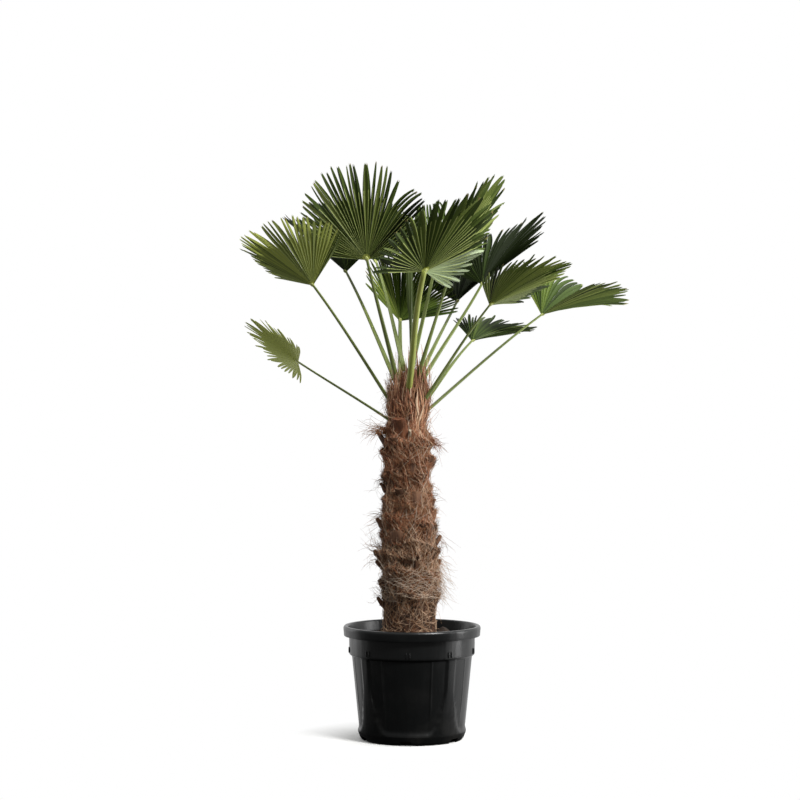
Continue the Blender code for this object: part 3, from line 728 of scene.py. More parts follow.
# The last row is a small stub, cream all over, which puts a pale spot high on the trunk.
STUBS = (  # bearing, height of the foot, length, stand-off, breadth, thickness, kind of wood
    (180, 1.046, 0.074, 0.043, 0.034, 0.015, 0), (177, 0.878, 0.052, 0.030, 0.030, 0.014, 0),
    (183, 0.748, 0.054, 0.037, 0.032, 0.017, 0), (179, 0.640, 0.045, 0.039, 0.034, 0.018, 0),
    (186, 0.607, 0.041, 0.031, 0.028, 0.015, 0), (178, 0.536, 0.041, 0.023, 0.025, 0.012, 0),
    (182, 0.464, 0.050, 0.030, 0.030, 0.014, 0), (4, 1.035, 0.054, 0.030, 0.034, 0.015, 0),
    (-4, 0.826, 0.047, 0.027, 0.028, 0.014, 0), (6, 0.788, 0.043, 0.023, 0.025, 0.013, 0),
    (-2, 0.694, 0.045, 0.029, 0.030, 0.015, 0), (3, 0.612, 0.040, 0.025, 0.028, 0.014, 0),
    (235, 1.078, 0.086, 0.017, 0.072, 0.026, 2), (248, 0.690, 0.070, 0.018, 0.060, 0.016, 0),
    (283, 0.835, 0.066, 0.016, 0.050, 0.014, 0), (272, 1.102, 0.020, 0.030, 0.011, 0.011, 3),
)
WOODS = (  # name, dark colour, light colour, scale of the streaks
    ("leaf_base_rind", "#452C1C", "#7F5A40", 70.0), ("leaf_base_cut", "#4A3524", "#8C6548", 200.0),
    ("leaf_base_russet", "#57321F", "#96603F", 90.0), ("pale_spot_stub", "#B9A588", "#DCD0B8", 200.0),
)


def make_wood(name, dark, light, scale):
    """Weathered leaf-base wood: dry, and streaked lengthwise in browns."""
    material, tree, shader = new_material(name, dark, 0.85)
    place = add_node(tree, "ShaderNodeTexCoord").outputs["Object"]
    upright = add_node(tree, "ShaderNodeMapping", {"Vector": place, "Scale": (1.0, 1.0, 0.18)})
    streaks = add_node(tree, "ShaderNodeTexNoise", {"Vector": upright, "Scale": scale, "Detail": 5.0,
                                                    "Roughness": 0.7})
    mottle(tree, shader, streaks, (0.34, 0.68), dark, light)
    bump = add_node(tree, "ShaderNodeBump", {"Height": streaks, "Strength": 0.7, "Distance": 0.0015})
    tree.links.new(bump.outputs[0], shader.inputs["Normal"])
    return material


def loft_faces(rings, sides, count=1):
    """The quads of so many lofts, each of so many rings and sides, and the faces that close their ends."""
    ends = np.stack([np.arange(sides)[::-1], np.arange(sides) + sides * (rings - 1)])
    quads = grid_faces(rings, sides, closed_columns=True)
    return [copies(quads, count, rings * sides), copies(ends, count, rings * sides)]


def make_boots():
    """All the bases as one piece: lofts of rounded sections square to a bent path, dished at the cut."""
    turn = all_round(BOOT_SIDES)
    wide = np.cos(turn)
    thick = np.sin(turn) * np.where(np.sin(turn) > 0, 1.0, 0.8) - 0.3 * np.cos(turn) ** 2
    chance = np.random.default_rng(31)
    rows = [(*place, BOOT_WIDTH * 0.72, BOOT_THICKNESS * 0.8, 0) for place in boot_places()]
    rows += [(foot, math.radians(bearing), *sizes) for bearing, foot, *sizes in STUBS]
    points = []
    for index, (foot, bearing, length, stand_off, breadth, depth, kind) in enumerate(rows):
        stations, rough = (BROKEN, 0.16) if index >= BOOTS and kind == 0 else (SAWN, 0.05)
        shares, _, _, stands = np.transpose(stations)
        out, along = level_axes(bearing)
        lean = chance.uniform(-0.15, 0.15)
        heights = foot + shares * length
        reaches = column_radius(bearing, heights) - depth * 0.35 + stands * stand_off
        slope = np.arctan2(np.gradient(reaches[:CUT_FROM + 1]), np.gradient(heights[:CUT_FROM + 1]))
        slope = np.append(slope, [slope[-1]] * 2)
        for (share, width, thickness, _), height, reach, leaned in zip(stations, heights, reaches, slope):
            middle = np.array([TRUNK_X, 0.0, height]) + out * reach + along * lean * share * length
            knots = 1 + chance.normal(0, rough, BOOT_SIDES)[:, None]
            ring = along * (wide * width * breadth / 2)[:, None] * knots
            square = out * math.cos(leaned) - np.array([0.0, 0.0, math.sin(leaned)])
            points.append(middle + ring + square * (thick * thickness * depth / 2)[:, None] * knots)
    quads, ends = loft_faces(len(SAWN), BOOT_SIDES, len(rows))
    kinds = np.array([kind for *_, kind in rows])
    cut = np.repeat(np.arange(len(SAWN) - 1) >= CUT_FROM, BOOT_SIDES).astype(int)
    round_it = np.where(kinds[:, None] > 0, kinds[:, None], cut).ravel()
    chosen = np.concatenate([round_it, kinds, np.where(kinds > 0, kinds, 1)])
    boots = new_mesh_object("cut_leaf_bases", points, [quads, ends[::2], ends[1::2]],
                            [make_wood(*wood) for wood in WOODS], chosen)
    boots.data.set_sharp_from_angle(angle=math.radians(50))
    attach(boots, "root")


make_boots()


# Trunk fibre: the coarse hair that the leaf sheaths fray into. It lies on the felt in crossing layers and
# stands out in wisps from the lips, dark and brown low down, straw-coloured where it has bleached, and
# russet near the crown. Real hairs are 0.3 to 0.6 mm thick, and these are drawn about twice as coarse.
STRAND_STEPS = 6
STRAND_RADIUS = 0.00062
FIBRES = (("fibre_dark", "#3A2617"), ("fibre_brown", "#916745"), ("fibre_russet", "#AC704D"),
          ("fibre_straw", "#BE9E80"), ("fibre_pale", "#C9B5A0"))
MATS = (  # colour name, number, lowest and highest start, lift off the felt, length, steepness
    ("fibre_dark", 500, 0.375, 0.48, 0.0030, 0.060, 0.8),
    ("fibre_dark", 1400, 0.38, 1.22, 0.0015, 0.070, 1.2),
    ("fibre_brown", 2000, 0.38, 1.18, 0.0035, 0.085, 1.0),
    ("fibre_russet", 1300, 0.70, 1.22, 0.0040, 0.090, 1.2),
    ("fibre_straw", 560, 0.38, 1.12, 0.0065, 0.095, 0.8),
    ("fibre_straw", 190, 0.375, 0.46, 0.0060, 0.070, 0.4),
    ("fibre_straw", 240, 0.50, 1.15, 0.0080, 0.140, 1.5),
    ("fibre_pale", 110, 0.55, 1.12, 0.0090, 0.130, 1.3),
    ("fibre_pale", 360, 0.495, 0.605, 0.0085, 0.080, 0.28),
)
FRINGE = 95  # hairs of one sheath, and as many again in its main colour
FRINGE_SHARES = (  # top of the zone, shares of the five colours
    (0.50, (0.34, 0.40, 0.08, 0.16, 0.02)), (0.66, (0.20, 0.38, 0.16, 0.20, 0.06)),
    (0.90, (0.18, 0.38, 0.24, 0.18, 0.02)), (1.40, (0.14, 0.26, 0.46, 0.12, 0.02)),
)
WISP = (16, 0.026, 0.85, 0.45)  # number at each leaf base, length, rise, tightness
TUFTS = (  # bearing, height, spread of the height, length, rise, number, colour name, tightness
    (180, 1.112, 0.008, 0.090, 0.42, 70, "fibre_brown", 0.11),
    (182, 1.120, 0.008, 0.052, 0.50, 34, "fibre_russet", 0.16),
    (178, 0.925, 0.008, 0.060, 0.75, 24, "fibre_brown", 0.22),
    (181, 0.795, 0.010, 0.048, 0.50, 30, "fibre_brown", 0.28),
    (180, 0.684, 0.008, 0.086, 0.35, 34, "fibre_brown", 0.20),
    (184, 0.645, 0.010, 0.062, 0.55, 26, "fibre_brown", 0.26),
    (183, 0.508, 0.010, 0.056, 0.50, 24, "fibre_brown", 0.24),
    (2, 1.080, 0.008, 0.056, 0.30, 60, "fibre_russet", 0.14),
    (-4, 1.074, 0.008, 0.046, 0.00, 40, "fibre_brown", 0.16),
    (-5, 0.872, 0.010, 0.050, 0.60, 24, "fibre_brown", 0.26),
    (4, 0.828, 0.010, 0.044, 0.50, 24, "fibre_straw", 0.28),
    (-3, 0.738, 0.008, 0.056, 0.15, 26, "fibre_brown", 0.24),
    (0, 0.650, 0.016, 0.048, -0.30, 34, "fibre_straw", 0.30),
    (-8, 0.610, 0.030, 0.048, -0.90, 70, "fibre_pale", 0.28),
    (-14, 0.570, 0.030, 0.040, -0.80, 50, "fibre_straw", 0.32),
)
NECK_WISPS = 46
NECK_WISP = (12, 0.060, 1.25, 0.22)
NECK_SHARES = (0.08, 0.30, 0.40, 0.17, 0.05)
ALONG_HAIR = np.linspace(0, 1, STRAND_STEPS)[None, :]


def tubes(paths, radii):
    """Points of three-sided tubes along paths of equal steps."""
    tangent = np.gradient(paths, axis=1)
    tangent /= np.linalg.norm(tangent, axis=2, keepdims=True) + 1e-12
    side = np.cross(tangent, (0.31, 0.27, 0.91))
    side /= np.linalg.norm(side, axis=2, keepdims=True) + 1e-12
    up = np.cross(side, tangent)
    turn = np.arange(3) * 2 * math.pi / 3
    ring = side[:, :, None] * np.cos(turn)[:, None] + up[:, :, None] * np.sin(turn)[:, None]
    return paths[:, :, None] + radii[:, :, None, None] * ring


def sway(count, spread, chance):
    """A wave along each hair, of its own height and start."""
    tall = chance.normal(0, spread, (count, 1))
    return tall * np.sin(2 * math.pi * ALONG_HAIR + chance.uniform(0, 6, (count, 1)))


def mat_strands(count, low, high, lift, length, steepness, chance):
    """Hairs on the felt: each climbs aslant, either way round, rises off it and is tucked in again."""
    bearings = chance.uniform(0, 2 * math.pi, (count, 1))
    heights = chance.uniform(low, high, (count, 1))
    long = length * chance.lognormal(0, 0.35, (count, 1))
    slant = np.arctan(chance.normal(0, 1.0, (count, 1)) / steepness)
    waved = sway(count, 0.12, chance)
    heights = heights + long * (np.cos(slant) * ALONG_HAIR + 0.5 * waved * np.sin(slant))
    across = long * (np.sin(slant) * ALONG_HAIR - 0.5 * waved * np.cos(slant))
    bearings = bearings + across / trunk_radius(heights)
    off = lift * chance.lognormal(-0.1, 0.6, (count, 1)) * np.sin(math.pi * ALONG_HAIR) ** 0.8
    heights = np.clip(heights, SOIL_TOP - 0.004, TRUNK_TOP - 0.01)
    return around(felt_radius(bearings, heights) - 0.0006 + off, bearings, heights, TRUNK_X)


def fringe_strands(count, foot, bearing, length, chance):
    """Hairs of one sheath: combed up its face, aslant to the old leaf, and flaring past its ragged lip."""
    side = chance.uniform(-0.9, 0.9, (count, 1))
    edge = foot + length * 0.98 - SHEATH_BOW * side**2
    start = edge - chance.uniform(0.012, 0.060, (count, 1))
    climb = edge - start + chance.normal(0.006, 0.009, (count, 1))
    slant = -0.35 * side + chance.normal(0, 0.22, (count, 1))
    bearings = bearing + side * SHEATH_HALF_WIDTH + slant * ALONG_HAIR + sway(count, 0.05, chance)
    heights = np.minimum(start + climb * ALONG_HAIR, TRUNK_TOP - 0.012)
    flare = chance.gamma(1.6, 0.0035, (count, 1)) * ALONG_HAIR**3
    lift = 0.0030 * np.sin(math.pi * ALONG_HAIR) * chance.uniform(0, 1, (count, 1))
    reach = felt_radius(bearings, np.minimum(heights, edge - 0.004)) + 0.0004 + lift + flare
    return around(reach, bearings, heights, TRUNK_X)


def loose_strands(bearing, height, scatter, count, length, rise, tightness, chance):
    """A wisp: hairs that leave the felt together at the given rise and share a bend, each a little off it."""
    step = ALONG_HAIR[..., None]
    bearings = bearing + chance.normal(0, scatter[0], (count, 1))
    heights = height + chance.normal(0, scatter[1], (count, 1))
    start = around(felt_radius(bearings, heights) - 0.004, bearings, heights, TRUNK_X)
    swing = bearings + chance.normal(0, tightness, (count, 1))
    lifted = rise + chance.normal(0, tightness, (count, 1))
    heading = around(np.cos(lifted), swing, np.sin(lifted))
    long = length * chance.lognormal(-0.15, 0.45, (count, 1, 1)).clip(0.2, 1.35)
    curl = chance.normal(0, 0.25, (1, 1, 3)) + chance.normal(0, tightness * 0.5, (count, 1, 3))
    sag = np.array([0.0, 0.0, -1.0]) * (0.25 + np.abs(chance.normal(0, 0.25, (count, 1, 1))))
    hook = chance.normal(0, 0.12, (count, 1, 3)) * np.sin(2.5 * math.pi * step)
    return start + long * (heading * step + (curl + sag) * step**2 + hook * step)


def clear_of_hollows(paths):
    """The paths without most of those that would bridge one of the felt's hollows."""
    middle = paths[:, STRAND_STEPS // 2]
    bearings = np.arctan2(middle[:, 1], middle[:, 0] - TRUNK_X)
    kept = np.ones(len(paths), bool)
    for bearing, height, breadth, tall, _ in HOLLOWS:
        off = angle_from(bearings, math.radians(bearing))
        inside = (off / breadth) ** 2 + ((middle[:, 2] - height) / tall) ** 2 < 1
        kept &= ~inside | (np.arange(len(paths)) % 8 == 0)
    return paths[kept]


def make_fibre():
    """Five pieces, one to each colour, so that every piece stays a size that opens easily."""
    chance = np.random.default_rng(41)
    names = [name for name, _ in FIBRES]
    sheaves = {name: [] for name in names}
    for name, *row in MATS:
        sheaves[name].append(mat_strands(*row, chance))
    for foot, bearing, length, _ in boot_places():
        shares = next(shares for top, shares in FRINGE_SHARES if foot < top)
        main = names[chance.choice(5, p=shares)]
        for name, number in zip(names, chance.multinomial(FRINGE, shares)):
            number += FRINGE * (name == main)
            sheaves[name].append(fringe_strands(number, foot, bearing, length, chance))
        sheaves[main].append(loose_strands(bearing, foot + length * 0.92, (0.30, 0.010), *WISP, chance))
    for bearing, height, scatter, length, rise, count, name, tightness in TUFTS:
        sheaves[name].append(loose_strands(math.radians(bearing), height, (0.10, scatter), count, length,
                                           rise, tightness, chance))
    for _ in range(NECK_WISPS):
        name = names[chance.choice(5, p=NECK_SHARES)]
        sheaves[name].append(loose_strands(chance.uniform(0, 2 * math.pi), chance.uniform(1.08, 1.30),
                                           (0.10, 0.012), *NECK_WISP, chance))
    # Full through the body and thin at both ends
    taper = np.interp(ALONG_HAIR[0], (0, 0.2, 0.7, 1), (0.7, 1, 0.85, 0.25))
    for name, colour in FIBRES:
        paths = clear_of_hollows(np.concatenate(sheaves[name]))
        radii = STRAND_RADIUS * chance.lognormal(0, 0.25, (len(paths), 1)) * taper
        quads, ends = loft_faces(STRAND_STEPS, 3, len(paths))
        hair, _, _ = new_material(name, colour, 0.75)
        piece = new_mesh_object(name, tubes(paths, radii), [quads[:, ::-1], ends], [hair])
        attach(piece, "root")


make_fibre()


# Crown sheath: the youngest leaf sheaths, torn into upright russet ribbons that clasp the stalks. They are
# thin strips on the felt whose upper ends stand away from it between the stalks.
RIBBONS = 620
RIBBON_STEPS = 9
RIBBON_CORNERS = ((-1, -0.5), (0, -0.2), (1, -0.5), (0, 0.9))
RIBBON_HALF_THICKNESS = 0.0007
RIBBON_COLOURS = ("#6B4530", "#98664A", "#BB8C69", "#D8B999")
RIBBON_SHARES = (0.26, 0.34, 0.25, 0.15)


def make_ribbons():
    """Flat four-sided strips that climb the neck in loose shells, lean and wave, and end at odd heights."""
    chance = np.random.default_rng(51)
    each = (RIBBONS, 1)
    step = np.linspace(0, 1, RIBBON_STEPS)[None, :]
    bearings = chance.uniform(0, 2 * math.pi, each)
    low = chance.uniform(1.04, 1.25, each)
    tall = chance.uniform(0.07, 0.24, each)
    high = np.minimum(low + tall, 1.27 + 0.18 * chance.uniform(0, 1, each) ** 1.3)
    heights = low + (high - low) * step
    leaned = bearings + chance.normal(0, 0.26, each) * step
    bearings = leaned + 0.06 * np.sin(5 * step + chance.uniform(0, 6, each))
    shell = chance.uniform(0.45, 1.04, each) ** 0.7
    outer = shell * np.interp(heights, (1.0, 1.26, 1.32, 1.46), (0.080, 0.080, 0.074, 0.048))
    share = ramp(heights, 1.14, 0.14)
    flare = chance.gamma(1.3, 0.008, each) * step**3
    on_felt = felt_radius(bearings, np.minimum(heights, 1.20)) + 0.0015
    middle = around(on_felt * (1 - share) + outer * share + flare, bearings, heights, TRUNK_X)
    out, along = level_axes(bearings)
    width = chance.uniform(0.0012, 0.0048, each) * np.interp(step, (0, 0.15, 0.6, 1), (0.6, 1, 0.8, 0.1))
    points = np.stack([middle + along * (width * x)[..., None] + out * (RIBBON_HALF_THICKNESS * y)
                       for x, y in RIBBON_CORNERS], axis=2)
    colour = chance.choice(len(RIBBON_COLOURS), RIBBONS, p=RIBBON_SHARES)
    chosen = np.concatenate([np.repeat(colour, (RIBBON_STEPS - 1) * 4), np.repeat(colour, 2)])
    hues = [new_material(f"sheath_ribbon_{place}", hue, 0.8)[0] for place, hue in enumerate(RIBBON_COLOURS)]
    ribbons = new_mesh_object("crown_sheath", points, loft_faces(RIBBON_STEPS, 4, RIBBONS), hues, chosen,
                              smooth=False)
    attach(ribbons, "root")


make_ribbons()


# Stalks: tough green petioles, flat above and keeled below, with fine teeth along both edges. Each runs
# from inside the crown to its fan on the source's curve, and ends in a pale crest, the hastula.
FRONDS = (  # name, exit bearing and height, hastula, blade's direction, reach, spread, cup, droop
    ("left_low", 180, 1.157, (-0.417, 0.061, 1.370), (166, 35, 26), 0.251, 192, 0.01, 0.02),
    ("left", 187, 1.241, (-0.355, -0.126, 1.641), (206, 36, 23), 0.320, 150, 0.46, 0.00),
    ("left_back", 161, 1.337, (-0.249, 0.354, 1.718), (143, 43, -15), 0.333, 156, 0.77, 0.01),
    ("front_left", 219, 1.338, (-0.161, -0.207, 1.727), (232, 77, 14), 0.365, 165, 0.06, 0.01),
    ("back_left", 135, 1.378, (-0.133, 0.176, 1.745), (138, 44, -7), 0.358, 151, 0.47, 0.01),
    ("front", 270, 1.279, (0.041, -0.467, 1.671), (329, 51, -8), 0.330, 214, 0.10, 0.02),
    ("front_right", 313, 1.353, (0.151, -0.223, 1.730), (314, 64, 23), 0.346, 179, 0.08, 0.13),
    ("right_back", 28, 1.329, (0.265, 0.262, 1.667), (76, 45, -8), 0.380, 181, 0.74, 0.15),
    ("back_right", 54, 1.326, (0.176, 0.457, 1.609), (56, 45, -3), 0.324, 151, 0.60, 0.15),
    ("right_front", 326, 1.246, (0.274, -0.203, 1.566), (346, 35, -12), 0.328, 150, 0.19, 0.13),
    ("right", 8, 1.203, (0.482, 0.155, 1.547), (32, 17, 12), 0.370, 150, 0.71, 0.17),
    ("right_low", 18, 1.251, (0.229, 0.310, 1.454), (31, 22, 12), 0.272, 151, 0.33, 0.16),
    ("back_low", 112, 1.246, (-0.044, 0.289, 1.529), (79, 66, 37), 0.291, 150, 0.49, 0.01),
    ("back", 60, 1.383, (0.090, 0.139, 1.742), (80, 53, -12), 0.323, 157, 0.48, 0.07),
)
PETIOLE_ARCH = 0.01
PETIOLE_FOOT_WIDTH = 0.024
PETIOLE_TIP_WIDTH = 0.011
PETIOLE_FLATNESS = 0.62
PETIOLE_FOOT_INSET = 0.045
PETIOLE_RINGS = 26
PETIOLE_SECTION = np.array((
    (-1, 0.45), (-0.72, 0.80), (-0.35, 0.72), (0.0, 0.66), (0.35, 0.72), (0.72, 0.80), (1, 0.45),
    (0.93, 0.05), (0.66, -0.5), (0.25, -0.86), (-0.25, -0.86), (-0.66, -0.5), (-0.93, 0.05)))
STALK_BREADTHS = {"front": 2.1, "back_low": 1.3}
TEETH = 34
TOOTH_LENGTH = 0.0013
TOOTH_FACES = np.array(((0, 1, 4), (1, 2, 4), (2, 3, 4), (3, 0, 4), (2, 1, 0), (3, 2, 0)))
HASTULA = (0.0085, 0.0105, 0.0042)  # half breadth, half length and half thickness
HASTULA_GRID = (7, 14)
STALK_GREENS = ("#68763D", "#919E5A")
# The front stalk's greens: a lighter copy of the stalk green, which paints the light that falls on that
# stalk.
PAINTED_LIGHT_STALK_GREENS = ("#8E9A40", "#BEC468")
CREST_GREEN = "#B4BB6C"


def unit(vector):
    """The vector at length one."""
    return vector / np.linalg.norm(vector)


def blade_frame(bearing, elevation, roll):
    """A blade's own axes: along its middle segment, to its side, and out of its upper face."""
    bearing, elevation, roll = (math.radians(angle) for angle in (bearing, elevation, roll))
    along = around(math.cos(elevation), bearing, math.sin(elevation))
    side = unit(np.cross(along, (0.0, 0.0, 1.0)))
    side = side * math.cos(roll) + np.cross(along, side) * math.sin(roll)
    return along, side, np.cross(side, along)


def petiole_path(bearing, height, hastula, along, steps):
    """Points at steps from 0 to 1 along the source's curve, which turns towards the blade near its end."""
    start = around(trunk_radius(height), math.radians(bearing), height, TRUNK_X)
    end = np.array(hastula)
    span = np.linalg.norm(end - start)
    start_pull = start + (end - start) / 3 + np.array([0, 0, PETIOLE_ARCH * span])
    end_pull = end - span / 3 * unit(unit(end - start) * 4 + along)
    step, back = steps[:, None], 1 - steps[:, None]
    curve = back**3 * start + 3 * back**2 * step * start_pull + 3 * back * step**2 * end_pull + step**3 * end
    return np.vstack([start - PETIOLE_FOOT_INSET * unit(start_pull - start), curve])


def stalk_stations(frond, along, blade_side):
    """The stalk's path as a list of stations: point, direction, side, top, half width and half depth."""
    name, bearing, height, hastula, *_ = frond
    steps = np.linspace(0, 1, PETIOLE_RINGS)
    path = petiole_path(bearing, height, hastula, along, steps)
    tangents = np.gradient(path, axis=0)
    tangents[-1] = along
    tip_width = PETIOLE_TIP_WIDTH * STALK_BREADTHS.get(name, 1)
    stations = []
    for point, tangent, share in zip(path, tangents, np.concatenate([[0.0], (1 + 7 * steps) / 8])):
        tangent = unit(tangent)
        side = unit(np.cross(tangent, (0.0, 0.0, 1.0)))
        side = side + (blade_side - side) * share
        side = unit(side - tangent * (side @ tangent))
        width = (PETIOLE_FOOT_WIDTH + (tip_width - PETIOLE_FOOT_WIDTH) * share**0.6) / 2
        stations.append((point, tangent, side, np.cross(side, tangent), width, width * PETIOLE_FLATNESS))
    return stations


def teeth_points(stations, chance):
    """Teeth as slim pyramids, by turns on one edge and the other, at odd places along it."""
    teeth = []
    for index in range(TEETH):
        at = chance.uniform(1, len(stations) - 3)
        point, tangent, side, top, width, deep = stations[int(at)]
        outward = side * (1 if index % 2 else -1)
        base = point + (stations[int(at) + 1][0] - point) * (at % 1) + outward * width + top * deep * 0.42
        base = base - outward * 0.0006
        tip = base + outward * TOOTH_LENGTH * chance.uniform(0.8, 1.6) + tangent * 0.0012
        foot = (tangent * 0.0013, top * 0.0006, -tangent * 0.0013, -top * 0.0006)
        teeth.append([base + off for off in foot] + [tip])
    return np.array(teeth).reshape(-1, 3)


def make_stalk(frond, materials, seed):
    """One stalk: the section carried along the curve, with its teeth, a rounded end and the hastula."""
    name, _, _, hastula, pose, *_ = frond
    along, blade_side, blade_up = blade_frame(*pose)
    stations = stalk_stations(frond, along, blade_side)
    rings = [point + side * width * PETIOLE_SECTION[:, :1] + top * deep * PETIOLE_SECTION[:, 1:]
             for point, _, side, top, width, deep in stations]
    middle = rings[-1].mean(axis=0)
    rings.append(middle + (rings[-1] - middle) * 0.5 + along * 0.004)
    count, sides = len(rings), len(PETIOLE_SECTION)
    teeth = teeth_points(stations, np.random.default_rng(100 + seed))
    turn = all_round(HASTULA_GRID[1])[None, :, None]
    lift = np.linspace(-1.45, 1.45, HASTULA_GRID[0])[:, None, None]
    wide, long, tall = HASTULA
    crest = np.array(hastula) + along * (np.cos(lift) * np.cos(turn) * long + 0.004)
    crest = crest + blade_side * np.cos(lift) * np.sin(turn) * wide + blade_up * np.sin(lift) * tall
    points = np.concatenate([*rings, teeth, crest.reshape(-1, 3)])
    first_tooth, first_crest = count * sides, count * sides + len(teeth)
    pair = np.concatenate([TOOTH_FACES, TOOTH_FACES[:, ::-1] + 5])
    sets = [*loft_faces(count, sides), copies(pair, TEETH // 2, 10) + first_tooth,
            *(part + first_crest for part in loft_faces(*HASTULA_GRID))]
    chosen = np.concatenate([np.full(len(part), kind) for part, kind in zip(sets, (0, 0, 1, 1, 1))])
    uvs = np.zeros((len(points), 2))
    uvs[:first_tooth, 0] = np.tile(np.arange(sides) / sides, count)
    uvs[:first_tooth, 1] = np.repeat(np.arange(count) / 10, sides)
    stalk = new_mesh_object("stalk_" + name, points, sets, materials, chosen, uvs)
    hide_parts("petiole_" + name)
    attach(stalk, "root")


def make_stalk_green(name, dark, light):
    """Living stalk: a satin olive green in fine lengthwise streaks."""
    material, tree, shader = new_material(name, dark, 0.42)
    shader.inputs["Specular IOR Level"].default_value = 0.35
    place = add_node(tree, "ShaderNodeUVMap", uv_map="along").outputs["UV"]
    lengthwise = add_node(tree, "ShaderNodeMapping", {"Vector": place, "Scale": (22.0, 1.5, 1.0)})
    streaks = add_node(tree, "ShaderNodeTexNoise", {"Vector": lengthwise, "Scale": 1.0, "Detail": 4.0})
    mottle(tree, shader, streaks, (0.35, 0.7), dark, light)
    return material


stalk_green = make_stalk_green("petiole_green", *STALK_GREENS)
painted_light_green = make_stalk_green("petiole_painted_light_green", *PAINTED_LIGHT_STALK_GREENS)
crest_green, _, _ = new_material("hastula_green", CREST_GREEN, 0.5)
# The front stalk takes the lighter copy of the green, as painted light.
for seed, frond in enumerate(FRONDS):
    make_stalk(frond, [painted_light_green if frond[0] == "front" else stalk_green, crest_green], seed)


# Fans: stiff palmate blades, folded like a paper fan into 40 segments. The segments are joined to 62% of
# their length and free beyond it, and each ends in two fine points. A segment is a thin closed strip, and
# its greens are plain colours dealt out by segment and by zone. Each fan's greens are also lifted or
# lowered as a whole, as painted light and shade for where the fan lies in the light.
SEGMENTS = 40
JOINED = 0.62
SIDE_LENGTH = 0.70
LEAF_THICKNESS = 0.0007
FOLD = 0.62
FAN_FOLDS = {"left_low": 0.25}
STATION_SHARES = (0.03, 0.10, 0.35, 0.70, 1.0)
FREE_SHARES = (0.12, 0.3, 0.5, 0.68, 0.84, 0.94, 1.0)
FREE_WIDTHS = (1.0, 0.99, 0.93, 0.83, 0.66, 0.50, 0.30)
FAN_STATIONS = len(STATION_SHARES) + len(FREE_SHARES)
LEAF_ACROSS = np.array((-1, -0.84, 0, 0.84, 1, 1, 0.2, 0, -0.2, -1))
LEAF_BELOW = np.array((0, 0, 0, 0, 0, 1, 1, 1, 1, 1))
NOTCH = 0.045
LEAF_SHEEN = 0.22
DULL_SHEEN = 0.1
# Each side's greens run from shade to sunlit: darker and lighter copies of one leaf green, dealt out partly
# at random and partly as painted light and shade.
LEAF_COLOURS = (  # name, colour, roughness
    ("leaf_upper_shade", "#1F2910", 0.55), ("leaf_upper_deep", "#324119", 0.45),
    ("leaf_upper_mid", "#475A24", 0.45), ("leaf_upper_bright", "#637632", 0.45),
    ("leaf_upper_pale", "#85924A", 0.45), ("leaf_upper_sunlit", "#9AA550", 0.45),
    ("leaf_under_shade", "#232B14", 0.55), ("leaf_under_deep", "#37441D", 0.50),
    ("leaf_under_mid", "#4E5E29", 0.50), ("leaf_under_bright", "#697738", 0.50),
    ("leaf_under_pale", "#8A964F", 0.50), ("leaf_under_sunlit", "#B4BE62", 0.50),
    ("leaf_under_glaucous_painted_sheen", "#BCCCA4", 0.55), ("leaf_rib", "#9BA660", 0.50),
    ("leaf_hub", "#B9BF5E", 0.48), ("leaf_dry_tip", "#8C7B4E", 0.70),
)
LEAF = {name: place for place, (name, _, _) in enumerate(LEAF_COLOURS)}
TONE_STEPS = (-1.3, -0.4, 0.45, 1.25, 2.2)
# Painted light and shade: each fan is drawn darker where it lies in shade and lighter where it catches light.
FAN_PAINTED_LIGHT = {  # how bright each fan is, beside the crown's middle tone
    "left_low": 2.6, "left": 1.9, "left_back": -0.8, "front_left": 0.05, "back_left": -0.8, "front": 0.0,
    "front_right": 0.2, "right_back": -2.2, "back_right": -1.8, "right_front": 0.5, "right": 0.4,
    "right_low": -0.5, "back_low": 0.8, "back": -0.8,
}
# How much less of the fan's painted light the upper side of these fans takes than the under side.
UPPER_PAINTED_LIGHT_DROPS = {"left_low": 2.2, "left": 0.8}
UNEVENNESS = {"left_low": 0.15}  # of the tones in one fan, beside the others'
# On the front fan's first segments the under side is a glaucous green, paled further as painted sheen for the
# light that this lobe reflects.
GLAUCOUS_SHEEN_SEGMENTS = {"front": 9}
RIBBED = ("left", "front_left", "front", "front_right", "right_front")
DRY_SHARE = 0.22


